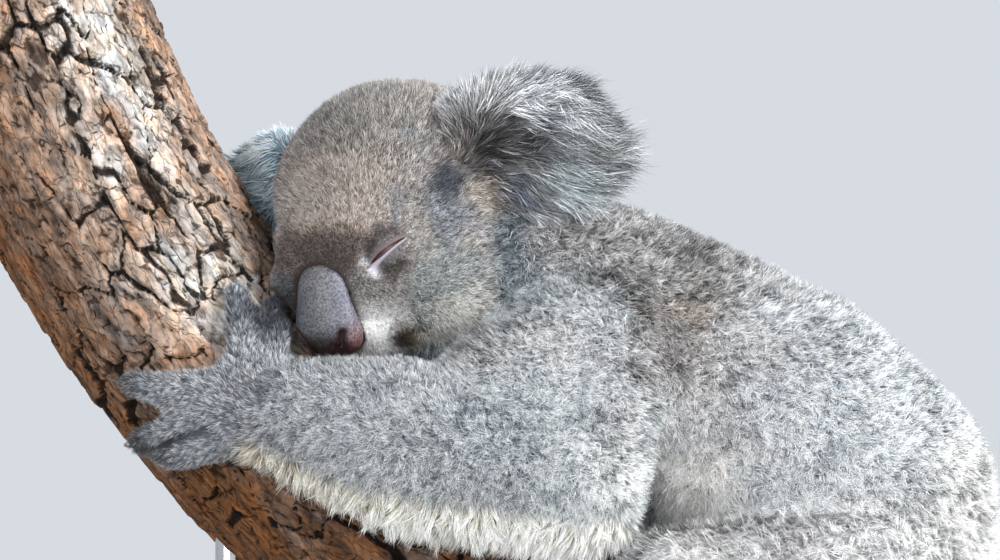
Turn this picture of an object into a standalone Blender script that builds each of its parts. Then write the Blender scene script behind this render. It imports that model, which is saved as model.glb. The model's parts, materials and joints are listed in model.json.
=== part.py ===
"""A life-size sleeping koala that hugs a leaning bough, on a plain display stand.

Frame: +Z up, the koala's head towards -X, its left side towards -Y. The origin is the centre of
the stand's underside. The flesh pieces reach out to the tips of the coat. Each is a few balls,
linked into tapered lengths, melted into one closed form and trimmed where a neighbour starts.
"""

import math

import bmesh
import bpy
from mathutils import Matrix, Vector

MM = 0.001

# Stand: a flat plate and two rods that run up into the bough.
BASE_LENGTH = 460 * MM
BASE_WIDTH = 280 * MM
BASE_THICKNESS = 18 * MM
BASE_CORNER_RADIUS = 30 * MM
BASE_EDGE_ROUND = 2 * MM
ROD_RADIUS = 8 * MM
ROD_SIDES = 16
ROD_DEPTH_IN_BOUGH = 30 * MM
ROD_PLACES_X = (-145 * MM, 125 * MM)

# Perch: a bough whose axis is an arc in the XZ plane. Its slope falls from one cut end to the other.
ARC_CENTRE = Vector((357 * MM, 0, 780 * MM))
ARC_RADIUS = 649 * MM
BOUGH_RADIUS = 66 * MM
SLOPE_HIGH_END = math.radians(74)
SLOPE_LOW_END = math.radians(5)
BOUGH_SIDES = 18
BOUGH_LENGTHS = 15

# Head: where the middle of the skull is and how the sleeper has laid its head.
HEAD_CENTRE = Vector((-54, -15, 458)) * MM
HEAD_YAW = math.radians(35)  # from facing -Y, turned towards -X
HEAD_PITCH = math.radians(28)  # nose down
HEAD_ROLL = math.radians(-3)  # left side down

GAP = 0.35 * MM  # between pieces that touch
CLAW_SIDES = 5
CLAW_LENGTH = 15 * MM
CLAW_RADIUS = 2.6 * MM
CLAW_CURL = math.radians(48)

FUR_GREY = (0.33, 0.32, 0.31)
FUR_PALE = (0.45, 0.44, 0.42)
NOSE_SKIN = (0.10, 0.085, 0.085)
EYE_DARK = (0.02, 0.012, 0.010)
CLAW_HORN = (0.06, 0.05, 0.04)
BARK = (0.24, 0.17, 0.12)
BASE_STAIN = (0.035, 0.033, 0.032)
ROD_STEEL = (0.42, 0.42, 0.43)


# ---------------------------------------------------------------- shared helpers


def clear_scene():
    for thing in list(bpy.data.objects):
        bpy.data.objects.remove(thing, do_unlink=True)


def finish(name, colour, roughness, metallic=0.0):
    """A Principled material for one sub-part."""
    material = bpy.data.materials.new(name)
    material.use_nodes = True
    shader = material.node_tree.nodes["Principled BSDF"]
    shader.inputs["Base Color"].default_value = (*colour, 1)
    shader.inputs["Roughness"].default_value = roughness
    shader.inputs["Metallic"].default_value = metallic
    material.diffuse_color = (*colour, 1)
    return material


def add_object(name, bm, material=None):
    """Turns a bmesh into a named object of triangles."""
    mesh = bpy.data.meshes.new(name)
    bmesh.ops.triangulate(bm, faces=bm.faces[:])
    bm.to_mesh(mesh)
    bm.free()
    if material:
        mesh.materials.append(material)
    thing = bpy.data.objects.new(name, mesh)
    bpy.context.scene.collection.objects.link(thing)
    return thing


def bake_modifiers(thing):
    """Replaces an object's mesh by what its modifiers make of it."""
    bpy.context.view_layer.update()
    seen = thing.evaluated_get(bpy.context.evaluated_depsgraph_get())
    baked = bpy.data.meshes.new_from_object(seen)
    thing.modifiers.clear()
    old = thing.data
    thing.data = baked
    bpy.data.meshes.remove(old)


def biggest_piece(thing):
    """Drops the crumbs that a trim leaves, so that one closed body stays."""
    bm = bmesh.new()
    bm.from_mesh(thing.data)
    bmesh.ops.remove_doubles(bm, verts=bm.verts[:], dist=0.001 * MM)
    unseen = set(bm.verts)
    islands = []
    while unseen:
        island = set()
        edge_of_search = [unseen.pop()]
        while edge_of_search:
            vertex = edge_of_search.pop()
            island.add(vertex)
            for edge in vertex.link_edges:
                other = edge.other_vert(vertex)
                if other in unseen:
                    unseen.remove(other)
                    edge_of_search.append(other)
        islands.append(island)
    islands.sort(key=len)
    for island in islands[:-1]:
        bmesh.ops.delete(bm, geom=list(island), context="VERTS")
    bmesh.ops.triangulate(bm, faces=bm.faces[:])
    bm.to_mesh(thing.data)
    bm.free()


# ---------------------------------------------------------------- places on the bough and the head


def on_bough(slope_deg, round_deg, height):
    """A point by the bough: where along it, how far round it (0 faces -Y, 90 its upper side), and
    how high above the bark."""
    slope = math.radians(slope_deg)
    turn = math.radians(round_deg)
    reach = BOUGH_RADIUS + height
    from_centre = ARC_RADIUS - reach * math.sin(turn)
    return Vector(
        (
            ARC_CENTRE.x - from_centre * math.sin(slope),
            -reach * math.cos(turn),
            ARC_CENTRE.z - from_centre * math.cos(slope),
        )
    )


def head_turn():
    """Columns: the head's forward, left and up directions."""
    forward = Vector(
        (
            -math.sin(HEAD_YAW) * math.cos(HEAD_PITCH),
            -math.cos(HEAD_YAW) * math.cos(HEAD_PITCH),
            -math.sin(HEAD_PITCH),
        )
    )
    left = Vector((math.cos(HEAD_YAW), -math.sin(HEAD_YAW), 0))
    left = Matrix.Rotation(-HEAD_ROLL, 3, forward) @ left
    up = forward.cross(left)
    return Matrix((forward, left, up)).transposed()


HEAD_TURN = head_turn()


def in_head(forward, left, up):
    return HEAD_CENTRE + HEAD_TURN @ (Vector((forward, left, up)) * MM)


# ---------------------------------------------------------------- soft forms


def ball(centre, radii, turn=None):
    """The surface points of an ellipsoid. Radii are in mm along the turned axes."""
    bm = bmesh.new()
    bmesh.ops.create_icosphere(bm, subdivisions=3, radius=MM)
    if isinstance(radii, (int, float)):
        radii = (radii, radii, radii)
    stretch = Matrix.Diagonal(radii)
    if turn is not None:
        stretch = turn @ stretch
    points = [centre + stretch @ v.co for v in bm.verts]
    bm.free()
    return points


def head_ball(place, radii):
    return ball(in_head(*place), radii, HEAD_TURN)


def hull_into(bm, points):
    """Adds the tight skin round a cloud of points."""
    verts = [bm.verts.new(p) for p in points]
    made = bmesh.ops.convex_hull(bm, input=verts)
    spare = {g for g in made["geom_interior"] + made["geom_unused"] if isinstance(g, bmesh.types.BMVert)}
    bmesh.ops.delete(bm, geom=list(spare), context="VERTS")


def soft_form(name, chains, voxel, smoothing, triangles, hollows=()):
    """Melts chains of balls into one form. Hollows are clouds of points whose hulls are cut out."""
    bm = bmesh.new()
    for chain in chains:
        if len(chain) == 1:
            hull_into(bm, chain[0])
        for first, second in zip(chain, chain[1:]):
            hull_into(bm, first + second)
    thing = add_object(name, bm)
    melt = thing.modifiers.new("melt", "REMESH")
    melt.mode = "VOXEL"
    melt.voxel_size = voxel * MM
    bake_modifiers(thing)
    for number, hollow in enumerate(hollows):
        bm = bmesh.new()
        hull_into(bm, hollow)
        cutter = add_object(f"{name}_hollow_{number}", bm)
        cut = thing.modifiers.new("hollow", "BOOLEAN")
        cut.object = cutter
        bake_modifiers(thing)
        bpy.data.objects.remove(cutter, do_unlink=True)
    ease = thing.modifiers.new("ease", "SMOOTH")
    ease.factor = 0.5
    ease.iterations = smoothing
    bake_modifiers(thing)
    faces = sum(len(p.vertices) - 2 for p in thing.data.polygons)
    thin = thing.modifiers.new("thin", "DECIMATE")
    thin.ratio = min(1.0, triangles / faces)
    bake_modifiers(thing)
    biggest_piece(thing)
    return thing


def swollen_copy(thing, by):
    """A copy grown along its own normals, which trims a neighbour and leaves a gap."""
    bm = bmesh.new()
    bm.from_mesh(thing.data)
    bm.normal_update()
    for vertex in bm.verts:
        vertex.co += vertex.normal * by
    return add_object(thing.name + "_swollen", bm)


def trim_all(gives_way):
    """Each form loses what it shares with the forms it gives way to."""
    names = {name for pair in gives_way.items() for name in (pair[0], *pair[1])}
    cutters = {name: swollen_copy(bpy.data.objects[name], GAP) for name in names}
    for name, firm_names in gives_way.items():
        thing = bpy.data.objects[name]
        for firm in firm_names:
            cut = thing.modifiers.new(firm, "BOOLEAN")
            cut.operation = "DIFFERENCE"
            cut.object = cutters[firm]
            bake_modifiers(thing)
        biggest_piece(thing)
    for cutter in cutters.values():
        bpy.data.objects.remove(cutter, do_unlink=True)


# ---------------------------------------------------------------- the koala


def make_head():
    chains = [
        [head_ball((0, 0, 5), (67, 67, 66))],
        [head_ball((40, 0, -6), (46, 53, 46))],
        [head_ball((24, 36, -30), (42, 33, 34)), head_ball((58, 0, -40), (30, 26, 22))],
        [head_ball((24, -36, -30), (42, 33, 34)), head_ball((58, 0, -40), (30, 26, 22))],
        [head_ball((52, 0, -10), (38, 36, 34)), head_ball((74, 0, -24), (24, 25, 26))],
    ]
    sockets = [head_ball((68, 39 * side, 8), (10, 13, 9)) for side in (1, -1)]
    soft_form("head", chains, 3.5, 6, 700, sockets)


def make_eye(name, side):
    """The ball under the closed lids."""
    bm = bmesh.new()
    hull = [p for p in ball(in_head(57, 33 * side, 4.5), 9)]
    hull_into(bm, hull)
    thing = add_object(name, bm)
    thin = thing.modifiers.new("thin", "DECIMATE")
    thin.ratio = 0.12
    bake_modifiers(thing)


def make_nose():
    """The long bare pad: round at its top, with a wing over each nostril at its foot."""
    tilt = HEAD_TURN @ Matrix.Rotation(math.radians(-19), 3, "Y")
    chain = [
        ball(in_head(80, 0, -5), (11.5, 16, 14), tilt),
        ball(in_head(87, 0, -22), (12, 19.5, 14), tilt),
        ball(in_head(87, 0, -34), (11, 18, 9), tilt),
    ]
    soft_form("nose", [chain], 1.5, 8, 180)


def ear_turn(side, sweep):
    """Columns: towards the ear's rim, along its height, and out of its open face."""
    rim = Vector((-sweep, 0.80 * side, -0.46)).normalized()
    open_face = Vector((0.86, 0.5 * side, 0.1))
    height = open_face.cross(rim).normalized() * side
    open_face = (rim.cross(height) * side).normalized()
    return HEAD_TURN @ Matrix((rim, height, open_face)).transposed()


def make_ear(name, side, sweep, drop, height):
    """Sweep lays the ear back. Drop lowers it where the bough presses on it."""
    turn = ear_turn(side, sweep)
    middle = in_head(-8 - 48 * sweep, 93 * side, 19 - drop)
    root = in_head(-8, 56 * side, 30 - drop)
    chain = [
        ball(root, (20, 0.62 * height, 22), turn),
        ball(middle, (53, height, 15), turn),
    ]
    dish = ball(middle + turn @ (Vector((-12, 2, 24)) * MM), (34, 0.62 * height, 17), turn)
    soft_form(name, [chain], 3, 6, 240, [dish])


def make_trunk():
    neck = [
        ball(in_head(-26, 0, -20), 50),
        ball(Vector((12, -2, 424)) * MM, (58, 62, 56)),
        ball(Vector((38, 0, 398)) * MM, (66, 66, 66)),
    ]
    throat = ball(Vector((-36, -30, 386)) * MM, (30, 30, 22))
    soft_form("neck", [neck, [throat, neck[0]]], 4, 6, 130)
    spine = [
        ball(Vector((38, 0, 393)) * MM, (76, 74, 76)),
        ball(Vector((90, 0, 363)) * MM, (84, 82, 84)),
        ball(Vector((145, 0, 334)) * MM, (86, 86, 87)),
        ball(Vector((193, 0, 303)) * MM, (76, 82, 77)),
        ball(Vector((204, 0, 268)) * MM, (66, 70, 62)),
    ]
    soft_form("torso", [spine], 5, 10, 480)


def limb_place(x, y, z, side):
    """Limb places are given for the right limb, on the +Y side."""
    return Vector((x, y * side, z)) * MM


def round_side(round_deg, side):
    """The same place round the bough for the far limb, mirrored in the XZ plane."""
    return round_deg if side < 0 else 180 - round_deg


def make_arm(word, side, shift):
    """Upper arm, forearm and hand. Shift moves the grip up the bough, in degrees of slope."""
    shoulder = ball(limb_place(50, 50, 386, side), (44, 42, 46))
    biceps = ball(limb_place(2, 73, 350, side), (47, 38, 45))
    elbow = ball(limb_place(42, 92, 313, side), (38, 36, 38))
    soft_form(f"upper_arm_{word}", [[shoulder, elbow], [shoulder, biceps, elbow]], 4, 8, 210)

    near_elbow = ball(limb_place(22, 92, 316, side), (36, 34, 38))
    middle = ball(limb_place(-53, 90, 336, side), (40, 31, 46))
    wrist_place = on_bough(47.2 + shift, round_side(10, side), 17 * MM)
    wrist = ball(wrist_place, (24, 21, 31))
    soft_form(f"forearm_{word}", [[near_elbow, middle, wrist]], 4, 8, 200)

    palm_place = on_bough(49.0 + shift, round_side(-2, side), 12 * MM)
    palm = ball(palm_place, (28, 15, 25))
    heel_of_hand = ball(wrist_place, (20, 17, 26))
    chains = [[heel_of_hand, palm]]
    for digit, (knuckle, tip, radius) in DIGITS.items():
        knuckle_place = on_bough(knuckle[0] + shift, round_side(knuckle[1], side), 10 * MM)
        tip_place = on_bough(tip[0] + shift, round_side(tip[1], side), 7 * MM)
        half_way = on_bough(
            (knuckle[0] + tip[0]) / 2 + shift, round_side((knuckle[1] + tip[1]) / 2, side), 10 * MM
        )
        joint = ball(half_way, radius)
        chains.append([palm, ball(knuckle_place, radius + 1)])
        chains.append([ball(knuckle_place, radius + 1), joint, ball(tip_place, radius - 2)])
        make_claw(f"claw_hand_{word}_{digit}", half_way, tip_place, radius - 2)
    soft_form(f"hand_{word}", chains, 2.2, 3, 320)


# Fingers of a hand: knuckle and tip as (slope, round) on the bough in degrees, and radius in mm.
# The first two oppose the others, as a koala's do.
DIGITS = {
    "1": ((50.0, 22), (51.9, 36), 8.5),
    "2": ((50.8, 12), (53.6, 26), 9.5),
    "3": ((50.8, -9), (53.1, -34), 10.5),
    "4": ((49.8, -16), (50.9, -52), 10.5),
    "5": ((48.6, -20), (49.6, -45), 9.5),
}


def make_claw(name, joint_place, tip_place, finger_radius, size=1.0):
    """A hooked cone that leaves the finger's tip and bends down to the bark."""
    forward = (tip_place - joint_place).normalized()
    slope = math.atan2(ARC_CENTRE.x - tip_place.x, ARC_CENTRE.z - tip_place.z)
    axis_point = ARC_CENTRE - Vector((math.sin(slope), 0, math.cos(slope))) * ARC_RADIUS
    down = (axis_point - tip_place).normalized()
    down = (down - forward * down.dot(forward)).normalized()
    sideways = forward.cross(down)
    root = tip_place + forward * (0.55 * finger_radius * MM) - down * (0.25 * finger_radius * MM)
    bm = bmesh.new()
    rings = []
    for step in range(2):
        lean = CLAW_CURL * step / 2
        centre = root + (forward * math.sin(lean) + down * (1 - math.cos(lean))) * (CLAW_LENGTH * size)
        along = forward * math.cos(lean) + down * math.sin(lean)
        across = sideways
        rise = along.cross(across)
        width = CLAW_RADIUS * size * (1 - 0.4 * step)
        ring = []
        for corner in range(CLAW_SIDES):
            turn = 2 * math.pi * corner / CLAW_SIDES
            out = across * (0.75 * math.cos(turn)) + rise * math.sin(turn)
            ring.append(bm.verts.new(centre + out * width))
        rings.append(ring)
    lean = CLAW_CURL
    point = bm.verts.new(
        root + (forward * math.sin(lean) + down * (1 - math.cos(lean))) * (CLAW_LENGTH * size * 1.25)
    )
    bm.faces.new(rings[0])
    for corner in range(CLAW_SIDES):
        following = (corner + 1) % CLAW_SIDES
        bm.faces.new((rings[0][corner], rings[0][following], rings[1][following], rings[1][corner]))
        bm.faces.new((rings[1][corner], rings[1][following], point))
    bmesh.ops.recalc_face_normals(bm, faces=bm.faces[:])
    add_object(name, bm)


# Toes of a foot: root and tip on the bough, radius in mm, and claw sizes. The first has no claw,
# and the second and third are joined and carry two small ones.
TOES = {
    "1": ((26.0, -14), (27.5, -52), 11, ()),
    "23": ((29.0, 14), (33.0, 27), 8.5, (("2", 0.7, 4), ("3", 0.7, -4))),
    "4": ((29.5, 4), (34.6, 14), 10.5, (("4", 1.0, 0),)),
    "5": ((28.5, -10), (33.0, -8), 10, (("5", 1.0, 0),)),
}


def make_leg(word, side):
    hip = ball(limb_place(193, 56, 262, side), (60, 46, 48))
    mid_thigh = ball(limb_place(140, 82, 258, side), (44, 38, 40))
    knee = ball(limb_place(88, 98, 262, side), (31, 30, 32))
    soft_form(f"thigh_{word}", [[hip, mid_thigh, knee]], 4, 8, 200)

    ankle_place = on_bough(20.5, round_side(2, side), 14 * MM)
    shin_top = ball(limb_place(92, 100, 250, side), (28, 27, 30))
    calf = ball(limb_place(112, 96, 218, side), (30, 27, 31))
    ankle = ball(ankle_place, (27, 21, 24))
    soft_form(f"shin_{word}", [[shin_top, calf, ankle]], 4, 8, 160)

    heel = ball(ankle_place, (22, 17, 20))
    sole = ball(on_bough(27.0, round_side(3, side), 11 * MM), (26, 14, 23))
    chains = [[heel, sole]]
    for toe, (root, tip, radius, claws) in TOES.items():
        root_place = on_bough(root[0], round_side(root[1], side), 10 * MM)
        tip_place = on_bough(tip[0], round_side(tip[1], side), 7 * MM)
        half_way = on_bough((root[0] + tip[0]) / 2, round_side((root[1] + tip[1]) / 2, side), 10 * MM)
        chains.append([sole, ball(root_place, radius + 1)])
        chains.append([ball(root_place, radius + 1), ball(half_way, radius), ball(tip_place, radius - 2)])
        for claw, size, spread in claws:
            place = on_bough(tip[0], round_side(tip[1] + spread, side), 7 * MM)
            make_claw(f"claw_foot_{word}_{claw}", half_way, place, radius - 2, size)
    soft_form(f"foot_{word}", chains, 2.6, 3, 240)


# ---------------------------------------------------------------- perch and stand


def bough_swell(slope, turn):
    """How far the bough strays from a plain round, as a factor on its radius."""
    return 1 + 0.025 * math.sin(2 * turn + 3 * slope) + 0.018 * math.sin(3 * turn - 7 * slope + 1)


def make_bough():
    bm = bmesh.new()
    rings = []
    for step in range(BOUGH_LENGTHS + 1):
        slope = SLOPE_HIGH_END + (SLOPE_LOW_END - SLOPE_HIGH_END) * step / BOUGH_LENGTHS
        ring = []
        for corner in range(BOUGH_SIDES):
            turn = 2 * math.pi * corner / BOUGH_SIDES
            extra = BOUGH_RADIUS * (bough_swell(slope, turn) - 1)
            ring.append(bm.verts.new(on_bough(math.degrees(slope), math.degrees(turn), extra)))
        rings.append(ring)
    for first, second in zip(rings, rings[1:]):
        for corner in range(BOUGH_SIDES):
            following = (corner + 1) % BOUGH_SIDES
            bm.faces.new((first[corner], first[following], second[following], second[corner]))
    bm.faces.new(rings[0])
    bm.faces.new(rings[-1])
    bmesh.ops.recalc_face_normals(bm, faces=bm.faces[:])
    add_object("perch_bough", bm)


def make_rod(number, x):
    """Stands on the plate and runs a little way into the bough."""
    slope = math.asin((ARC_CENTRE.x - x) / (ARC_RADIUS + BOUGH_RADIUS))
    underside = ARC_CENTRE.z - (ARC_RADIUS + BOUGH_RADIUS) * math.cos(slope)
    bottom = BASE_THICKNESS + GAP
    height = underside + ROD_DEPTH_IN_BOUGH - bottom
    bm = bmesh.new()
    place = Matrix.Translation((x, 0, bottom + height / 2))
    bmesh.ops.create_cone(
        bm, cap_ends=True, segments=ROD_SIDES, radius1=ROD_RADIUS, radius2=ROD_RADIUS, depth=height, matrix=place
    )
    add_object(f"stand_rod_{number}", bm)


def make_base():
    """A plate with round corners, its origin at the middle of its underside."""
    bm = bmesh.new()
    bmesh.ops.create_cube(bm, size=1)
    bmesh.ops.scale(bm, vec=(BASE_LENGTH, BASE_WIDTH, BASE_THICKNESS), verts=bm.verts[:])
    bmesh.ops.translate(bm, vec=(0, 0, BASE_THICKNESS / 2), verts=bm.verts[:])
    upright = [e for e in bm.edges if abs(e.verts[0].co.z - e.verts[1].co.z) > BASE_THICKNESS / 2]
    bmesh.ops.bevel(bm, geom=upright, offset=BASE_CORNER_RADIUS, segments=4, affect="EDGES", profile=0.5)
    rim = [e for e in bm.edges if all(v.co.z > BASE_THICKNESS / 2 for v in e.verts)]
    bmesh.ops.bevel(bm, geom=rim, offset=BASE_EDGE_ROUND, segments=1, affect="EDGES", profile=0.5)
    add_object("stand_base", bm)


# ---------------------------------------------------------------- assembly


def trims():
    """Which piece gives way to which, from the firmest down."""
    bough = "perch_bough"
    gives_way = {
        bough: ["stand_rod_1", "stand_rod_2"],
        "head": [bough, "neck", "nose", "eye_left", "eye_right"],
        "neck": [bough],
        "torso": [bough, "head", "neck"],
    }
    for word in ("left", "right"):
        arm = f"upper_arm_{word}"
        forearm = f"forearm_{word}"
        hand = f"hand_{word}"
        thigh = f"thigh_{word}"
        shin = f"shin_{word}"
        foot = f"foot_{word}"
        gives_way["torso"] += [arm, forearm, thigh, shin]
        gives_way["neck"] += [arm]
        gives_way[f"ear_{word}"] = [bough, "head", "neck", "torso", arm]
        gives_way[arm] = [bough, "head"]
        gives_way[forearm] = [bough, "head", "nose", arm]
        gives_way[hand] = [bough, "head", "nose", forearm]
        gives_way[thigh] = [bough, arm, forearm]
        gives_way[shin] = [bough, thigh, arm, forearm]
        gives_way[foot] = [bough, shin, thigh, forearm]
        for digit in DIGITS:
            claw = f"claw_hand_{word}_{digit}"
            gives_way[claw] = [bough]
            gives_way[hand].append(claw)
        for toe, (root, tip, radius, claws) in TOES.items():
            for digit, size, spread in claws:
                claw = f"claw_foot_{word}_{digit}"
                gives_way[claw] = [bough]
                gives_way[foot].append(claw)
    return gives_way


def colour_all():
    looks = {
        "perch": finish("bark", BARK, 0.9),
        "stand_base": finish("stained wood", BASE_STAIN, 0.45),
        "stand_rod": finish("steel", ROD_STEEL, 0.35, 1.0),
        "nose": finish("nose skin", NOSE_SKIN, 0.45),
        "eye": finish("eye", EYE_DARK, 0.15),
        "claw": finish("claw horn", CLAW_HORN, 0.4),
        "ear": finish("ear fur", FUR_PALE, 0.9),
    }
    grey = finish("grey fur", FUR_GREY, 0.9)
    for thing in bpy.data.objects:
        words = [word for word in looks if thing.name.startswith(word)]
        thing.data.materials.clear()
        thing.data.materials.append(looks[words[0]] if words else grey)
        thing.data.shade_smooth()
        thing.data.set_sharp_from_angle(angle=math.radians(50))


def main():
    clear_scene()
    make_base()
    for number, x in enumerate(ROD_PLACES_X, 1):
        make_rod(number, x)
    make_bough()
    make_head()
    make_nose()
    make_eye("eye_left", 1)
    make_eye("eye_right", -1)
    make_ear("ear_left", 1, 0.38, 0, 41)
    make_ear("ear_right", -1, 0.07, 8, 31)
    make_trunk()
    make_arm("left", -1, 0)
    make_arm("right", 1, -1.5)
    make_leg("left", -1)
    make_leg("right", 1)
    trim_all(trims())
    colour_all()


main()
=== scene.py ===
# %% [markdown]
# # A sleeping koala on a cut length of bough
#
# This lesson builds a life-size museum model of a koala asleep on a slanting
# bough, its head turned and laid on its arm. A simple solid model of the same
# animal, split at the joints, gives the places and the outline. Everything
# that is built here is measured from that frame: one soft skin under the
# coat, the coat itself as well over a million little tufts, closed lids over
# wet eyes, a leathery nose, horn claws, cracked bark, and the stand.

# %% Load the frame
import json
import math

import bmesh
import bpy
import numpy as np
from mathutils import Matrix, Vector
from mathutils.bvhtree import BVHTree
from mathutils.kdtree import KDTree

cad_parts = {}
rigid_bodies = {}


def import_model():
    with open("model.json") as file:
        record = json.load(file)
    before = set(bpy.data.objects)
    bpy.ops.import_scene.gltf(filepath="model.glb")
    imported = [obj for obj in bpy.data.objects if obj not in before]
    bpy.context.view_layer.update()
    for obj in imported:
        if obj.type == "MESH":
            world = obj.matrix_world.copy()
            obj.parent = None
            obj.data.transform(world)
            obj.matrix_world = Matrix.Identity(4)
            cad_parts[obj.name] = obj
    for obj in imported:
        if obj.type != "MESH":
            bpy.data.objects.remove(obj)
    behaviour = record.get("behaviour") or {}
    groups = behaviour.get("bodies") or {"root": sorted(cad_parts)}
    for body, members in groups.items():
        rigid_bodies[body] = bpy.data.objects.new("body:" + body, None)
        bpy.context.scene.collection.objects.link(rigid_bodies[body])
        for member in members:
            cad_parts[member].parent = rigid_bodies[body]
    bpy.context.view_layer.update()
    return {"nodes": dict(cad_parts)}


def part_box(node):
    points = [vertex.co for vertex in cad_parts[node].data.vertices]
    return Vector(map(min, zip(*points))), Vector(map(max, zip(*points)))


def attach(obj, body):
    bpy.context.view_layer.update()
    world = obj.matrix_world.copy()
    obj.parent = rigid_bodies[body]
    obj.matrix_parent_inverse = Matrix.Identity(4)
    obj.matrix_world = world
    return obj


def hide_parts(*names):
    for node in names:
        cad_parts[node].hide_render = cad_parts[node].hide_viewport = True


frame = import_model()
MM = 0.001
print("frame:", len(frame["nodes"]), "nodes")

# %% [markdown]
# ## Measuring from the frame
#
# On a real animal every mark is found from the bones: the ear sits so far
# behind the eye, the tuft hangs from the elbow. The model works the same way.
# The middles of the two eyes and of the nose give the head three directions
# of its own, so that a place on the face is written once and is right however
# the head is turned.


# %% Places on the body
def middle(node):
    """The middle of a node's box, in metres."""
    low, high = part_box(node)
    return (np.array(low) + np.array(high)) / 2


def within(node, across, deep, high_up):
    """The place at these fractions of a node's box."""
    low, high = (np.array(corner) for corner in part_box(node))
    return low + (high - low) * np.array([across, deep, high_up])


def unit(vectors):
    """The same directions with length one."""
    lengths = np.linalg.norm(vectors, axis=-1, keepdims=True)
    return vectors / np.maximum(lengths, 1e-12)


def smooth_step(values, start, end):
    """0 before start, 1 after end, and a soft ramp between them."""
    part = np.clip((values - start) / (end - start), 0, 1)
    return part * part * (3 - 2 * part)


# %% The head's own directions
# the line from the eyes to the nose dips this far below straight ahead
NOSE_DIP = math.radians(40.8)
LEFT = unit(middle("eye_left") - middle("eye_right"))
EYES_MIDDLE = (middle("eye_left") + middle("eye_right")) / 2
eyes_to_nose = middle("nose") - EYES_MIDDLE
eyes_to_nose = unit(eyes_to_nose - LEFT * eyes_to_nose.dot(LEFT))
FORWARD = eyes_to_nose * math.cos(NOSE_DIP) + np.cross(eyes_to_nose, LEFT) * math.sin(NOSE_DIP)
UP = np.cross(FORWARD, LEFT)
HEAD = EYES_MIDDLE - (FORWARD * 57 + UP * 4.5) * MM


def on_head(forward, left, up):
    """A place in the head's own directions, in millimetres from its middle."""
    return HEAD + (FORWARD * forward + LEFT * left + UP * up) * MM


def head_coords(points):
    """The same points in the head's own directions, in millimetres."""
    rel = (points - HEAD) / MM
    return np.stack([rel @ FORWARD, rel @ LEFT, rel @ UP], axis=1)


print("head middle (mm):", np.round(HEAD / MM, 1))


# %% [markdown]
# ## Soft random fields
#
# Fur, bark and steel are never even. A value noise gives the same soft lumps
# each time: whole-number corners of a grid get fixed random numbers, and a
# point between them gets a smooth blend. Layers of finer noise add detail.


# %% Noise
def corner_value(place, seed):
    """The random number, 0 to 1, of whole-number grid corners."""
    # big odd factors and shifts stir the bits until no pattern is left
    mixed = place[:, 0] * np.uint32(374761393) + place[:, 1] * np.uint32(668265263)
    mixed = mixed + place[:, 2] * np.uint32(2246822519) + np.uint32(seed * 40503 + 977)
    mixed = (mixed ^ (mixed >> np.uint32(13))) * np.uint32(1274126177)
    mixed = (mixed ^ (mixed >> np.uint32(15))) * np.uint32(2246822519)
    return ((mixed ^ (mixed >> np.uint32(16))) & np.uint32(65535)) / 65535.0


def soft_noise(points, size, seed):
    """A smooth field from -1 to 1 with lumps about size millimetres across."""
    scaled = points / (size * MM)
    low = np.floor(scaled)
    part = scaled - low
    part = part * part * (3 - 2 * part)
    low = low.astype(np.int64)
    total = np.zeros(len(points))
    for corner in range(8):
        step = np.array([corner & 1, corner >> 1 & 1, corner >> 2 & 1])
        weight = np.prod(np.where(step == 1, part, 1 - part), axis=1)
        total += weight * corner_value((low + step).astype(np.uint32), seed)
    return total * 2 - 1


def layered_noise(points, size, seed, layers=3):
    """Soft noise with finer and weaker layers on top of the first."""
    total = np.zeros(len(points))
    for layer in range(layers):
        total += soft_noise(points, size / 2**layer, seed + layer) / 2**layer
    return total / 1.6


# %% Meshes from arrays
def put_in_scene(name, data):
    """A new object that shows this mesh, lamp or camera."""
    made = bpy.data.objects.new(name, data)
    bpy.context.scene.collection.objects.link(made)
    return made


def mesh_object(name, points, faces):
    """An object from an array of points and an array of equal-sized faces."""
    mesh = bpy.data.meshes.new(name)
    count, corners = faces.shape
    mesh.vertices.add(len(points))
    mesh.vertices.foreach_set("co", np.asarray(points, dtype=np.float32).ravel())
    mesh.loops.add(count * corners)
    mesh.loops.foreach_set("vertex_index", faces.astype(np.int32).ravel())
    mesh.polygons.add(count)
    mesh.polygons.foreach_set("loop_start", np.arange(0, count * corners, corners, dtype=np.int32))
    mesh.update(calc_edges=True)
    mesh.polygons.foreach_set("use_smooth", np.ones(count, dtype=bool))
    return put_in_scene(name, mesh)


# %% Arrays from meshes
def points_of(mesh):
    """All points of a mesh."""
    points = np.empty(len(mesh.vertices) * 3, dtype=np.float32)
    mesh.vertices.foreach_get("co", points)
    return points.reshape(-1, 3).astype(float)


def triangles_of(mesh):
    """All faces of a mesh, cut into triangles."""
    mesh.calc_loop_triangles()
    corners = np.empty(len(mesh.loop_triangles) * 3, dtype=np.int32)
    mesh.loop_triangles.foreach_get("vertices", corners)
    return corners.reshape(-1, 3)


def edges_of(mesh):
    """The pairs of points that an edge joins."""
    edges = np.empty(len(mesh.edges) * 2, dtype=np.int32)
    mesh.edges.foreach_get("vertices", edges)
    return edges.reshape(-1, 2)


def set_points(mesh, points):
    """Moves the points of a mesh."""
    mesh.vertices.foreach_set("co", np.asarray(points, dtype=np.float32).ravel())
    mesh.update()


def paint(mesh, name, colours):
    """Stores a colour for each point."""
    layer = mesh.attributes.new(name, "FLOAT_COLOR", "POINT")
    full = np.ones((len(colours), 4), dtype=np.float32)
    full[:, :3] = np.clip(colours, 0, 1)
    layer.data.foreach_set("color", full.ravel())


# %% [markdown]
# ## Easing
#
# Most of what follows is a number or a direction at each point of the skin
# that changes sharply where one part of the body meets the next. Easing
# replaces each by a blend with its neighbours' mean, over and over, as a
# thumb smooths clay.


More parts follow.
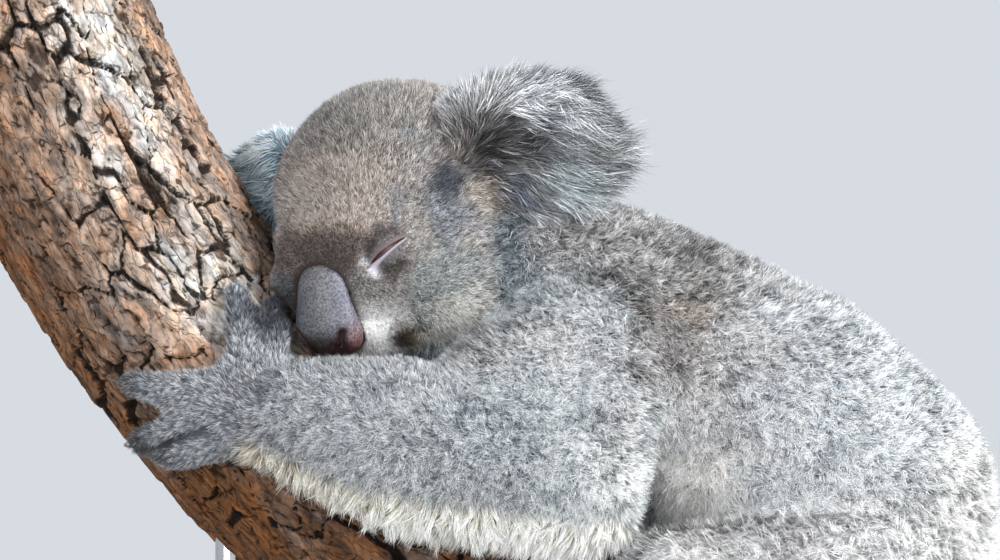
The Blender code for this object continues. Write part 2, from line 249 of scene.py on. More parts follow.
# %% Easing and normals
def gather(values, edges, count):
    """The mean of each point's neighbours."""
    columns = values.reshape(count, -1)
    share = np.bincount(edges.ravel(), minlength=count)
    total = np.empty_like(columns)
    for column in range(columns.shape[1]):
        one = columns[:, column]
        total[:, column] = np.bincount(edges[:, 0], one[edges[:, 1]], count)
        total[:, column] += np.bincount(edges[:, 1], one[edges[:, 0]], count)
    return (total / np.maximum(share, 1)[:, None]).reshape(values.shape)


def ease(values, edges, rounds, amount=0.5):
    """Values blended with their neighbours' mean, rounds times."""
    values = np.array(values, dtype=float)
    for _ in range(rounds):
        values += amount * (gather(values, edges, len(values)) - values)
    return values


def normals_of(points, triangles):
    """The direction out of the surface at each point."""
    first, second, third = (points[triangles[:, k]] for k in range(3))
    flat = np.cross(second - first, third - first)
    total = np.zeros_like(points)
    for k in range(3):
        for axis in range(3):
            total[:, axis] += np.bincount(triangles[:, k], flat[:, axis], len(points))
    return unit(total)


# %% [markdown]
# ## One skin for the whole body
#
# The frame's flesh comes in pieces that meet at the joints. A real body has
# one skin. Copies of all the pieces go into one block, and a voxel remesh
# melts them together: it fills a fine grid inside the block and wraps a new
# surface of even squares around it. The eyes and the nose go in too, so that
# no pit is left behind them.

# %% Melt the flesh together
FLESH_KINDS = ("head", "neck", "torso", "ear_", "upper_arm_", "forearm_", "hand_")
FLESH_KINDS += ("thigh_", "shin_", "foot_")
FLESH = [name for name in frame["nodes"] if name.startswith(FLESH_KINDS)]
IN_THE_BLOCK = FLESH + ["nose", "eye_left", "eye_right"]


def block_of(names):
    """The nodes' points and triangles in one pair of arrays, and each triangle's node."""
    points, triangles, owners = [], [], []
    start = 0
    for number, name in enumerate(names):
        mesh = frame["nodes"][name].data
        points.append(points_of(mesh))
        triangles.append(triangles_of(mesh) + start)
        owners.append(np.full(len(triangles[-1]), number))
        start += len(points[-1])
    return np.concatenate(points), np.concatenate(triangles), np.concatenate(owners)


def remeshed(points, faces, voxel):
    """A new even surface round a block of faces; voxel in millimetres."""
    block = mesh_object("clay", points, faces)
    melt = block.modifiers.new("melt", "REMESH")
    melt.mode = "VOXEL"
    melt.voxel_size = voxel * MM
    graph = bpy.context.evaluated_depsgraph_get()
    mesh = bpy.data.meshes.new_from_object(block.evaluated_get(graph))
    bpy.data.objects.remove(block)
    return mesh


def biggest_part(mesh):
    """The mesh without any loose crumb: its points and triangles."""
    points, triangles, edges = points_of(mesh), triangles_of(mesh), edges_of(mesh)
    label = np.arange(len(points))
    while True:
        lower = np.minimum(label[edges[:, 0]], label[edges[:, 1]])
        new = label.copy()
        np.minimum.at(new, edges[:, 0], lower)
        np.minimum.at(new, edges[:, 1], lower)
        new = new[new]
        if np.array_equal(new, label):
            break
        label = new
    main = np.bincount(label).argmax()
    kept = label == main
    renumber = np.cumsum(kept) - 1
    whole = kept[triangles].all(axis=1)
    return points[kept], renumber[triangles[whole]]


# %% Wrap the body
block_points, block_triangles, block_owners = block_of(IN_THE_BLOCK)
body_points, body_triangles = biggest_part(remeshed(block_points, block_triangles, 2.3))
print("melted body:", len(body_points), "points")

# %% [markdown]
# ## How deep the skin lies
#
# The frame's outline runs out to the tips of the coat, so the skin must lie
# inside it by the depth of the fur: little on the nose, the fingers and the
# toes, most on the back and the hips. A small table holds, for each kind of
# body part, the length of its hair, how far it stands off, how deep the skin
# lies, and how wide one tuft is.

# %% The coat's table
# length mm, lift degrees, skin depth mm, tuft width mm
COAT = {
    "head": (5.2, 40, 2.8, 0.40),
    "neck": (7.5, 34, 4.0, 0.46),
    "torso": (8.0, 37, 5.0, 0.46),
    "ear": (17.0, 26, 4.5, 0.36),
    "upper_arm": (8.0, 38, 4.8, 0.46),
    "forearm": (6.5, 36, 3.4, 0.45),
    "hand": (4.0, 22, 1.2, 0.36),
    "thigh": (9.0, 36, 4.8, 0.47),
    "shin": (8.0, 34, 4.0, 0.48),
    "foot": (3.8, 28, 1.6, 0.38),
    "nose": (2.6, 34, 2.0, 0.32),
    "eye": (2.6, 34, 2.0, 0.32),
}

# %% Whose part a point belongs to
NODE_TREE = BVHTree.FromPolygons(block_points.tolist(), block_triangles.tolist())


def kind_of(name):
    """A node's name without its side."""
    return name.replace("_left", "").replace("_right", "")


def nearest_nodes(points):
    """For each point, the number of the frame node that it belongs to."""
    found = [NODE_TREE.find_nearest(Vector(point))[2] for point in points]
    return block_owners[np.array(found)]


def edges_from(triangles):
    """Every edge of a set of triangles, once."""
    pairs = np.concatenate([triangles[:, [0, 1]], triangles[:, [1, 2]], triangles[:, [2, 0]]])
    return np.unique(np.sort(pairs, axis=1), axis=0)


# %% Draw the skin inwards
EAR_PULL = 17.0
body_edges = edges_from(body_triangles)
body_owner = nearest_nodes(body_points)
node_depths = np.array([COAT[kind_of(name)][2] for name in IN_THE_BLOCK])
depth = ease(node_depths[body_owner], body_edges, 16)
for step in range(5):
    inward = unit(ease(normals_of(body_points, body_triangles), body_edges, 4))
    body_points = body_points - inward * (depth * MM / 5)[:, None]
    body_points = ease(body_points, body_edges, 1, 0.25)

# %% [markdown]
# ## Ears: gristle and hair
#
# Half of what looks like a koala's ear is hair. The gristle is a short round
# shell, and the long locks stand out from it to the side. So the skin of
# each ear is drawn back towards its root, and the coat fills the rest.

# %% Draw the ears back
EAR_ROOTS = {"left": on_head(-2, 64, 24), "right": on_head(0, -62, 22)}
EAR_HOLES = {"left": on_head(3, 69, 31), "right": on_head(3, -69, 31)}


def ear_tip_way(side):
    """The direction in which an ear's locks stream."""
    sweep = 0.38 if side == "left" else 0.07
    sign = 1 if side == "left" else -1
    return unit(-sweep * FORWARD + sign * 0.80 * LEFT - 0.46 * UP)


for side in ("left", "right"):
    number = IN_THE_BLOCK.index("ear_" + side)
    belongs = ease((body_owner == number).astype(float), body_edges, 6)
    outness = (body_points - EAR_ROOTS[side]) @ ear_tip_way(side) / MM
    pull = belongs * smooth_step(outness, 0, 60) * EAR_PULL
    body_points = body_points - ear_tip_way(side) * (pull * MM)[:, None]

# %% Wrap the skin afresh
skin_points, skin_triangles = biggest_part(remeshed(body_points, body_triangles, 2.4))
skin_edges = edges_from(skin_triangles)
skin_points = ease(skin_points, skin_edges, 3, 0.4)
print("skin:", len(skin_points), "points")

# %% [markdown]
# ## The face
#
# The face needs finer clay than the back. The squares near the eyes, the nose
# and the mouth are cut into smaller ones, and only then are the lids, the
# folds and the mouth pressed in. Each eye gets directions of its own: along
# the slit from the inner corner to the outer one, across it, and out.

# %% Finer faces round the eyes and the mouth
FACE_PLACES = [middle("eye_left"), middle("eye_right"), on_head(80, 0, -38)]
FACE_PLACES += [on_head(72, 26, -44), on_head(72, -26, -44), middle("nose")]


def finer(points, triangles):
    """The surface with smaller faces near the face's features."""
    clay = mesh_object("clay", points, triangles)
    cut = bmesh.new()
    cut.from_mesh(clay.data)
    for reach in (24, 19):
        near = set()
        for place in FACE_PLACES:
            spot = Vector(place)
            for face in cut.faces:
                if (face.calc_center_median() - spot).length < reach * MM:
                    near.update(face.edges)
        bmesh.ops.subdivide_edges(cut, edges=list(near), cuts=1, use_grid_fill=True)
        bmesh.ops.triangulate(cut, faces=cut.faces[:])
    cut.to_mesh(clay.data)
    cut.free()
    found = points_of(clay.data), triangles_of(clay.data)
    bpy.data.objects.remove(clay)
    return found


skin_points, skin_triangles = finer(skin_points, skin_triangles)
skin_edges = edges_from(skin_triangles)
print("skin with a finer face:", len(skin_points), "points")


# %% Directions of each eye
def eye_frame(side):
    """The eye's middle and its directions along the slit, across it and out."""
    # the right eyeball is moved forward a little, clear of the bough
    sign = 1 if side == "left" else -1
    centre = middle("eye_" + side)
    if side == "right":
        centre = centre - (FORWARD * 9 + LEFT * 2) * MM
    out = unit(0.845 * FORWARD + sign * 0.46 * LEFT + 0.27 * UP)
    along = -0.53 * FORWARD + sign * 0.768 * LEFT + 0.356 * UP
    along = unit(along - out * along.dot(out))
    across = np.cross(out, along) * sign
    return centre, along, across, out


def eye_coords(points, side):
    """Points in an eye's own directions, in millimetres."""
    centre, along, across, out = eye_frame(side)
    rel = (points - centre) / MM
    return np.stack([rel @ along, rel @ across, rel @ out], axis=1)


# %% [markdown]
# ## Lids
#
# A dozing koala's eye is a slit. Lids are thin skin stretched over the ball,
# so the skin near each eye is laid on a shallow dome just above the eyeball,
# and the slit is pressed in behind the ball's front. The ball then shows only
# through the slit. Two shallow creases above and below follow the lid.

# %% Lay the lids over the eyeballs
BALL = (13.0, 10.0, 8.2)
LID_SPREAD = (15.5, 12.0)
LID_FRONT = 9.6
SLIT_HALF_LENGTH = 11.7
SLIT_HALF_WIDTH = 0.9


def slit_line(along):
    """How far across the slit's middle line lies at a place along it."""
    return 0.9 - 0.9 * (along / SLIT_HALF_LENGTH) ** 2


def slit_half_width(along):
    """Half the slit's width: widest a third of the way from the inner corner."""
    part = np.clip((along + SLIT_HALF_LENGTH) / (2 * SLIT_HALF_LENGTH), 0, 1)
    shape = np.clip(part / 0.33, 0, 1) ** 0.6 * np.clip((1 - part) / 0.67, 0, 1) ** 0.8
    return SLIT_HALF_WIDTH * shape


for side in ("left", "right"):
    centre, along_way, across_way, out_way = eye_frame(side)
    place = eye_coords(skin_points, side)
    flat = (place[:, 0] / LID_SPREAD[0]) ** 2 + (place[:, 1] / LID_SPREAD[1]) ** 2
    dome = LID_FRONT * np.sqrt(np.clip(1 - 0.72 * flat, 0.05, 1))
    nearness = (1 - smooth_step(flat, 0.55, 1.25)) * (place[:, 2] > -4)
    off_line = place[:, 1] - slit_line(place[:, 0])
    inside = slit_half_width(place[:, 0]) - np.abs(off_line)
    slit = smooth_step(inside, -0.25, 0.25)
    crease_up = np.exp(-((off_line - 4.6) / 0.8) ** 2) * 0.8
    crease_low = np.exp(-((off_line + 4.3) / 0.8) ** 2) * 0.6
    rim = np.exp(-((np.abs(off_line) - 1.5) / 0.9) ** 2) * 0.35
    lift = (dome - crease_up - crease_low + rim - place[:, 2]) * nearness - slit * 3.6
    skin_points = skin_points + out_way * (lift * MM)[:, None]

# %% [markdown]
# ## Mouth and nose rim
#
# The mouth is a short groove that leaves the foot of the nose and curves back
# along each cheek. Round the nose pad the skin sinks a little, so that the
# leather stands proud of it. Both are made by pushing the skin in where it
# is near a line. So is the groove that parts the fingers of the seen hand,
# and the crown and the far brow are filled out or flattened a little here.

# %% Press in the mouth
MOUTH_LINE = [(90, 0, -44), (86, 12, -46), (79, 22, -46), (71, 30, -43), (62, 37, -40)]


def distance_to_line(points, stops):
    """How far each point is from a line through the stops, in millimetres."""
    best = np.full(len(points), 1e9)
    for start, end in zip(stops[:-1], stops[1:]):
        way = end - start
        part = np.clip(((points - start) @ way) / way.dot(way), 0, 1)
        nearest = start + part[:, None] * way
        best = np.minimum(best, np.linalg.norm(points - nearest, axis=1))
    return best / MM


mouth_stops = [on_head(f, -l, u) for f, l, u in MOUTH_LINE[:0:-1]]
mouth_stops += [on_head(f, l, u) for f, l, u in MOUTH_LINE]
NOSE_LINE = [on_head(82, 0, -3), on_head(88, 0, -30)]
skin_normals = normals_of(skin_points, skin_triangles)
mouth_distance = distance_to_line(skin_points, mouth_stops)
pressed_in = np.exp(-((mouth_distance / 3.2) ** 2)) * 2.4
nose_tree = BVHTree.FromPolygons(*(part.tolist() for part in block_of(["nose"])[:2]))
pad_gap = np.full(len(skin_points), 99.0)
for number in np.flatnonzero(np.linalg.norm(skin_points - middle("nose"), axis=1) < 0.05):
    pad_gap[number] = nose_tree.find_nearest(Vector(skin_points[number]))[3] / MM
pressed_in += np.exp(-((pad_gap / 3.0) ** 2)) * 1.6
for spot in EAR_HOLES.values():
    pressed_in += 7 * np.exp(-((np.linalg.norm(skin_points - spot, axis=1) / (7 * MM)) ** 2))
# place on the head, millimetres that it swells by, and how far that reaches
FULLER = [
    ((-14, 44, 56), 4.5, 24),
    ((73, -33, 2), 6, 17),
    ((50, -38, 30), 1.5, 20),
    ((34, -14, 56), -3.0, 28),
]
for place, height, reach in FULLER:
    far = np.linalg.norm(skin_points - on_head(*place), axis=1) / (reach * MM)
    pressed_in -= height * np.exp(-(far**2))
# the gap between two fingers runs through these fractions of the hand's box
FINGER_GAP = [(0.02, 0.85, 0.12), (0.22, 0.54, 0.11), (0.37, 0.35, 0.17), (0.52, 0.17, 0.22)]
finger_gap = distance_to_line(skin_points, [within("hand_left", *part) for part in FINGER_GAP])
pressed_in += 3.6 * np.exp(-((finger_gap / 2.4) ** 2))
skin_points = skin_points - skin_normals * (pressed_in * MM)[:, None]

# %% [markdown]
# ## What each point of the skin knows
#
# Hair needs to know where it grows: whose part of the body it is, how long,
# which way it lies, what colour it has. These are fields over the skin's
# points. They start as one value for each part of the body and are eased, so
# that no border shows.

# %% Owners and lengths
skin_owner = nearest_nodes(skin_points)
owner_kinds = [kind_of(name) for name in IN_THE_BLOCK]
skin_weights = {}
for kind in COAT:
    mine = np.isin(skin_owner, [k for k, other in enumerate(owner_kinds) if other == kind])
    skin_weights[kind] = ease(mine.astype(float), skin_edges, 14)


def from_table(column):
    """A value of the coat's table, blended over the skin."""
    return sum(COAT[kind][column] * weight for kind, weight in skin_weights.items())


skin_normals = unit(ease(normals_of(skin_points, skin_triangles), skin_edges, 2))
hair_length = from_table(0)
hair_lift = from_table(1)
tuft_width = from_table(3)
eye_places = {side: eye_coords(skin_points, side) for side in ("left", "right")}
eye_distance = np.full(len(skin_points), 1e9)
for side in ("left", "right"):
    spread = eye_places[side] * np.array([0.75, 1.0, 0.8])
    eye_distance = np.minimum(eye_distance, np.linalg.norm(spread - [0, 0, 6], axis=1))
nose_distance = distance_to_line(skin_points, NOSE_LINE)
on_face = skin_weights["head"] + skin_weights["eye"] + skin_weights["nose"]
face_short = np.minimum(smooth_step(eye_distance, 6, 34), smooth_step(nose_distance, 16, 60))
hair_length = hair_length * (1 - on_face * (1 - (0.33 + 0.67 * face_short)))
tuft_width = tuft_width * (1 - on_face * (1 - (0.65 + 0.35 * face_short)))

# %% [markdown]
# ## Long hair at the ears and the arms
#
# The locks of the ears are longest in front, where they stream out of the
# opening, and shorter behind. The underside of the forearm carries a fringe
# that hangs, and the hair is longer where the elbow meets the flank. All come
# from where a point lies on its part.

# %% Long hair of the arms
ELBOW = {side: within("forearm_" + side, 0.93, 0.5, 0.35) for side in ("left", "right")}
WRIST = {side: middle("hand_" + side) for side in ("left", "right")}
faces_down = -skin_normals[:, 2]
hand_low, hand_high = (corner[0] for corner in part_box("hand_left"))
at_wrist = smooth_step(skin_points[:, 0], hand_low + 0.058, hand_high - 0.012)
elbow_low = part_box("upper_arm_left")[0][2]
at_elbow = 1 - smooth_step(skin_points[:, 2], elbow_low + 0.012, elbow_low + 0.045)
fringe = skin_weights["forearm"] + skin_weights["upper_arm"] * at_elbow
fringe = np.clip(fringe + skin_weights["hand"] * at_wrist, 0, 1)
fringe = fringe * smooth_step(faces_down, 0.30, 0.62)
hair_length = hair_length + fringe * (10 + 4 * soft_noise(skin_points, 15, 73))
tuft_width = tuft_width * (1 - 0.25 * fringe)
hair_lift = hair_lift + fringe * (4 + 30 * smooth_step(faces_down, 0.55, 0.95))

# %% Long hair of the ears
ear_out = np.zeros(len(skin_points))
for side in ("left", "right"):
    near_side = smooth_step((skin_points - HEAD) @ LEFT * (1 if side == "left" else -1), 0, 0.03)
    outness = (skin_points - EAR_ROOTS[side]) @ ear_tip_way(side) / MM
    ear_out += near_side * skin_weights["ear"] * smooth_step(outness, 5, 45)
ear_front = skin_weights["ear"] * smooth_step(skin_normals @ FORWARD, -0.2, 0.6)
ear_top = skin_weights["ear"] * smooth_step(skin_normals @ UP, 0.25, 0.8)
hair_length = hair_length + ear_out * 8 + ear_front * 4 - skin_weights["ear"] * 3
hair_length = hair_length * (1 - 0.50 * ear_top)
hair_lift = hair_lift + ear_top * 20
for side in ("left", "right"):
    from_hole = (skin_points - EAR_HOLES[side]) / MM
    rim = skin_weights["ear"] * (1 - smooth_step(from_hole @ ear_tip_way(side), 6, 30))
    rim = rim * smooth_step(from_hole @ UP, 6, 20) * (1 - smooth_step(from_hole @ UP, 45, 70))
    hair_length = hair_length + rim * 5
    hair_lift = hair_lift + rim * 6

# %% Long hair of the flank's fold
for deep in (0.08, 0.92):
    from_fold = np.linalg.norm(skin_points - within("torso", 0.44, deep, 0.36), axis=1) / MM
    hair_length = hair_length + 5 * (1 - smooth_step(from_fold, 8, 28))
hair_length = hair_length * (1 + 0.18 * soft_noise(skin_points, 22, 5))

# %% [markdown]
# ## The lie of the coat
#
# Hair points away from the nose on the face, back along the neck and the
# spine, down the arms and legs, and along each finger to its claw. Each part
# has a simple rule for that direction. The rules are laid flat on the skin
# and eased, and a soft swirl makes them uneven, as on a real, woolly coat.

# %% Direction rules
DOWN = np.array([0.0, 0.0, -1.0])
TAIL = within("torso", 1.15, 0.5, 0.0)
NOSE_TOP = on_head(84, 0, 2)


def claw_pull(points, part, side, fingers):
    """Directions that lead to the nearest claw of a hand or a foot."""
    total = np.zeros_like(points)
    for finger in fingers:
        rel = middle(f"claw_{part}_{side}_{finger}") - points
        total += rel / (np.linalg.norm(rel, axis=1, keepdims=True) ** 3.5 + 1e-9)
    return unit(total)


def lie_of(name, points):
    """Which way the hair lies on one part of the body."""
    kind = kind_of(name)
    side = "right" if name.endswith("right") else "left"
    if kind in ("head", "eye", "nose"):
        return unit(points - NOSE_TOP) + 0.15 * UP
    if kind == "neck":
        return unit(points - middle("head")) + 0.9 * DOWN
    if kind == "torso":
        return 0.75 * unit(TAIL - points) + 1.1 * DOWN
    if kind == "ear":
        outness = (points - EAR_ROOTS[side]) @ ear_tip_way(side) / MM
        streams = smooth_step(outness, -12, 8)[:, None]
        return 1.3 * ear_tip_way(side) * streams + 0.75 * unit(points - EAR_HOLES[side])
    if kind == "upper_arm":
        return unit(ELBOW[side] - within("upper_arm_" + side, 0.7, 0.5, 0.9)) + 0.9 * DOWN
    if kind == "forearm":
        along = unit(WRIST[side] - ELBOW[side])
        low = smooth_step(points[:, 2], middle("forearm_" + side)[2] + 0.02, ELBOW[side][2] - 0.01)
        return along * (1 - 0.6 * low)[:, None] + DOWN * (0.25 + 1.5 * low)[:, None]
    if kind == "hand":
        return claw_pull(points, "hand", side, (1, 2, 3, 4, 5))
    if kind == "foot":
        return claw_pull(points, "foot", side, (2, 3, 4, 5))
    if kind == "thigh":
        return unit(middle("shin_" + side) - middle("thigh_" + side)) + 0.5 * DOWN
    return unit(middle("foot_" + side) - middle("shin_" + side)) + 0.7 * DOWN


# %% Lay the directions on the skin
skin_lie = np.zeros_like(skin_points)
for number, name in enumerate(IN_THE_BLOCK):
    mine = skin_owner == number
    skin_lie[mine] = unit(lie_of(name, skin_points[mine]) + np.zeros((mine.sum(), 3)))


def flat_on(directions, normals):
    """Directions laid flat on the surface."""
    into = np.sum(directions * normals, axis=1, keepdims=True)
    return unit(directions - normals * into)


for _ in range(6):
    skin_lie = flat_on(ease(skin_lie, skin_edges, 3), skin_normals)
woolly = 0.25 + 0.75 * (1 - np.clip(on_face + skin_weights["hand"] + skin_weights["foot"], 0, 1))
swirl = (layered_noise(skin_points, 34, 11) * 0.8 + layered_noise(skin_points, 7, 12) * 0.7) * woolly
sideways = np.cross(skin_normals, skin_lie)
skin_lie = skin_lie * np.cos(swirl)[:, None] + sideways * np.sin(swirl)[:, None]

# %% [markdown]
# ## Markings
#
# A koala is grey with a bluish cast, brown on the forehead and the shoulders,
# cream under the arms and at the ears, almost white on the rump. Each marking
# is a soft ball of colour at a place on the body, laid over a ground colour
# for each part. A later ball covers an earlier one. Skin and hair both read
# these same colours.

# %% Ground colours
GROUND = {
    "head": (0.26, 0.245, 0.235),
    # the neck's dark bluish ground is painted shade under the head; its far side is marked grey below
    "neck": (0.165, 0.20, 0.228),
    "torso": (0.695, 0.78, 0.85),
    "ear": (0.142, 0.140, 0.143),
    "upper_arm": (0.69, 0.80, 0.88),
    "forearm": (0.40, 0.43, 0.465),
    "hand": (0.355, 0.383, 0.425),
    "thigh": (0.90, 0.92, 0.94),
    "shin": (0.50, 0.50, 0.50),
    "foot": (0.30, 0.31, 0.33),
    "nose": (0.25, 0.24, 0.24),
    "eye": (0.28, 0.27, 0.28),
}
skin_colour = sum(np.outer(weight, GROUND[kind]) for kind, weight in skin_weights.items())


def mark(colour, places, reach, strength=1.0, ragged=0.35, only=None):
    """Lays a soft ball of colour over the coat at each place; reach in millimetres."""
    global skin_colour
    rough = 1 + ragged * layered_noise(skin_points, 14, len(places) + int(reach))
    for spot in places:
        far = np.linalg.norm(skin_points - spot, axis=1) / (reach * MM) * rough
        cover = strength * (1 - smooth_step(far, 0.45, 1.15))
        if only is not None:
            cover = cover * only
        skin_colour = skin_colour + cover[:, None] * (np.array(colour) - skin_colour)


def both(forward, left, up):
    """The same place on both sides of the head."""
    return [on_head(forward, left, up), on_head(forward, -left, up)]


# %% Markings of the head
face_only = np.clip(on_face, 0, 1)
# brown forehead, grey crown, and a slate temple with a dark and a light spot
mark((0.49, 0.385, 0.325), [on_head(56, 0, 46)], 46, 0.9, only=face_only)
mark((0.245, 0.23, 0.215), both(10, 18, 66), 36, 0.8, only=face_only)
mark((0.17, 0.19, 0.225), both(32, 58, 15), 21, 0.7, 1.2, face_only)
mark((0.036, 0.041, 0.053), both(24, 58, 27), 15, 1.0, 0.6, face_only)
mark((0.30, 0.34, 0.42), both(38, 58, 13), 10, 0.6, 0.9, face_only)
mark((0.16, 0.135, 0.12), both(12, 57, 38), 8, 0.7, 0.8)
# grey cheek with a pale foot, dark bridge above the nose, white muzzle and chin
mark((0.19, 0.21, 0.215), both(50, 57, -26), 34, 0.9, only=face_only)
mark((0.72, 0.71, 0.62), both(45, 50, -53), 25, 0.9, only=face_only)
mark((0.106, 0.080, 0.070), [on_head(78, 0, 16)] + both(76, 17, 15), 17, 0.9)
mark((1.0, 1.0, 1.0), both(80, 23, -38), 23, 1.0, 0.2)
mark((0.60, 0.60, 0.58), [on_head(84, 0, -54), on_head(70, 0, -62)], 20, 0.9, only=face_only)
# the mouth's corner is black in a brown patch; a tan fleck lies below the ear, painted shadow runs under
# the cheek, and a dark fleck lies below the ear
mark((0.16, 0.12, 0.07), both(69, 33, -42), 11, 0.9)
mark((0.013, 0.008, 0.006), both(71, 31, -44), 10, 1.0, 0.2)
mark((0.29, 0.25, 0.20), both(9, 64, 11), 13, 0.6, 0.8)
# painted shadow along the lower edge of the cheek, where it meets the arm and the shoulder
mark((0.11, 0.10, 0.10), both(44, 62, -50) + both(30, 76, -44), 9, 0.8, 0.6)
mark((0.045, 0.053, 0.07), both(-1, 76, 9), 12, 0.95)

# %% Markings of the ears
# black below the hole, a lighter rim, painted shade in the hole, and bands of painted shade between the rim
# and the locks
on_ear = np.clip(skin_weights["ear"], 0, 1)
mark((0.024, 0.022, 0.024), both(-17, 91, -20), 16, 0.95)
mark((0.30, 0.32, 0.345), both(-20, 92, 50), 20, 0.9)
mark((0.33, 0.34, 0.355), both(-9, 63, 55) + both(-12, 74, 55), 13, 0.95)
# painted shade in each ear hole, then in bands between the rim and the locks
mark((0.016, 0.014, 0.015), [EAR_HOLES[side] for side in EAR_HOLES], 15, 1.0)
mark((0.030, 0.029, 0.030), both(-10, 79, 30) + both(-15, 88, 25), 12, 0.95, only=on_ear)
mark((0.035, 0.034, 0.036), both(-18, 97, 20) + both(-18, 104, 9), 10, 0.9, only=on_ear)
# the far ear shows its pale inside, painted with the blue cast of its shade, and is grey behind; both ears
# end in a pale tuft
far_ear_blue_shade = [within("ear_right", x, 0.3, 0.65) for x in (0.15, 0.5)]
mark((0.55, 0.79, 1.0), far_ear_blue_shade, 36, 0.95, only=on_ear)
behind = [within("ear_right", x, y, 0.5) for x in (0.3, 0.8) for y in (0.5, 1.0)]
mark((0.40, 0.405, 0.415), behind, 36, 0.9, only=on_ear * smooth_step(skin_normals[:, 1], 0.05, 0.45))
mark((0.55, 0.66, 0.72), [on_head(-12, 93, 3), on_head(-18, 104, -6)], 12, 0.95)
mark((0.78, 0.90, 0.96), [on_head(-21, 103, -15)], 10, 0.9)

# %% Markings round the eyes
for side in ("left", "right"):
    centre, along_way, across_way, out_way = eye_frame(side)

    def by_eye(along, across, out=8.0):
        """A place near this eye."""
        return centre + (along_way * along + across_way * across + out_way * out) * MM

    mark((0.10, 0.085, 0.08), [by_eye(-6, 9), by_eye(3, 11), by_eye(11, 8)], 6.5, 0.85, 0.2)
    mark((0.07, 0.055, 0.05), [by_eye(-6, -10), by_eye(1, -11)], 6, 0.8, 0.2)
    mark((0.55, 0.57, 0.62), [by_eye(-13.5, 3.5)], 3.2, 0.8, 0.2)

# %% Markings of the body
# back and neck
saddle = [within("torso", x, y, 0.87) for x in (0.28, 0.40, 0.52) for y in (0.2, 0.5, 0.8)]
mark((0.31, 0.307, 0.312), saddle, 46, 0.9, 0.5)
nape = [within("neck", 0.75, y, 0.90) for y in (0.55, 0.85)] + [within("neck", 0.6, 1.0, 0.6)]
mark((0.30, 0.30, 0.305), nape, 38, 0.9, 0.6)
far_side = [within("neck", x, 0.9, z) for x in (0.1, 0.4, 0.65) for z in (0.2, 0.45, 0.7, 0.95)]
mark((0.37, 0.365, 0.37), far_side, 34, 0.95, 0.4)
# a brown band runs down behind the shoulder, and fades over the ribs
mark((0.34, 0.31, 0.29), [within("torso", 0.44, y, 0.66) for y in (0.05, 0.95)], 36, 0.85, 0.8)
mark((0.185, 0.165, 0.150), [within("torso", 0.44, y, 0.76) for y in (0.08, 0.92)], 25, 0.92, 0.8)
ribs = [within("torso", x, y, 0.52) for x in (0.45, 0.56) for y in (0.02, 0.98)]
mark((0.60, 0.60, 0.62), ribs, 27, 0.75, 0.9)
mark((0.23, 0.222, 0.215), [within("torso", 0.46, y, 0.86) for y in (0.24, 0.5, 0.76)], 22, 0.6, 0.8)
# shoulders: dark at the seam with the back, pale where they bulge
for side, y, inner in (("left", 0.30, 0.40), ("right", 0.70, 0.60)):
    upper_arm = "upper_arm_" + side
    mark((0.22, 0.21, 0.21), [within(upper_arm, 0.93, 0.5 * (y + inner), 0.72)], 30, 0.85)
    mark((0.13, 0.125, 0.12), [within(upper_arm, 0.89, inner, 0.86)], 20, 0.9)
    mark((0.51, 0.49, 0.475), [within(upper_arm, 0.25, y, 0.74)], 26, 0.8)
    mark((0.75, 0.76, 0.79), [within(upper_arm, 0.53, y, 0.75)], 22, 0.8)
    mark((0.82, 0.94, 1.0), [within(upper_arm, 0.59, inner, 0.90)], 20, 0.85)
# the fold between the arm and the flank is cream, with painted light over it to lift the arm's shadow, and
# the arms darken to the wrist
mark((1.0, 0.95, 0.87), [within("torso", 0.45, y, 0.39) for y in (0.08, 0.92)], 29, 1.0)
for side, y in (("left", 0.2), ("right", 0.8)):
    back_of_arm = [within("upper_arm_" + side, x, y, z) for x, z in ((0.71, 0.69), (0.78, 0.46))]
    mark((0.46, 0.46, 0.475), back_of_arm, 20, 0.75)
    mark((0.88, 0.96, 0.98), [within("upper_arm_" + side, 0.68, y, 0.28)], 25, 0.85)
    mark((0.35, 0.405, 0.455), [within("forearm_" + side, 0.80, y, 0.62)], 24, 0.8, 0.8)

# %% Markings of the legs, the rump and the flank
knees = [within("thigh_left", 0.24, 0.08, 0.71), within("thigh_right", 0.24, 0.92, 0.71)]
mark((1.0, 1.0, 1.0), knees, 26, 0.8)
thighs = [within("thigh_left", 0.51, 0.16, 0.71), within("thigh_right", 0.51, 0.84, 0.71)]
mark((0.78, 0.78, 0.81), thighs, 26, 0.8)
mark((0.97, 1.0, 1.0), [within("torso", 1.0, y, 0.30) for y in (0.15, 0.5, 0.85)], 76, 1.0)
flank = [within("torso", x, y, 0.60) for x in (0.67, 0.82) for y in (0.1, 0.5, 0.9)]
mark((0.71, 0.80, 0.89), flank, 54, 0.8)
upper_back = [within("torso", x, y, z) for x, z in ((0.62, 0.80), (0.73, 0.72)) for y in (0.1, 0.9)]
mark((0.84, 0.94, 1.0), upper_back, 24, 0.7, 0.9)
mark((0.58, 0.60, 0.62), [within("torso", 0.57, y, 0.68) for y in (0.07, 0.93)], 22, 0.8, 0.8)
mark((0.66, 0.71, 0.76), [within("torso", 0.86, y, 0.40) for y in (0.04, 0.96)], 22, 0.75, 0.9)

# %% Markings of the chest and the hands
mark((0.74, 0.74, 0.70), [within("torso", 0.05, 0.5, 0.35), within("torso", 0.2, 0.5, 0.05)], 70, 0.8)
for side in ("left", "right"):
    mark((1.0, 1.0, 1.0), [within("forearm_" + side, 0.90, 0.5, 0.12)], 28, 0.9)
    tips = [middle(f"claw_hand_{side}_{finger}") for finger in (3, 4, 5)]
    mark((0.098, 0.097, 0.100), tips, 32, 0.80)
    # painted shadow on top of the hand by the wrist, where the head lies over it
    mark((0.022, 0.026, 0.034), [within("hand_" + side, 0.86, 0.5, 0.83)], 26, 0.95)
    mark((0.20, 0.205, 0.225), [within("hand_" + side, 0.82, 0.1, 0.38)], 24, 0.7)

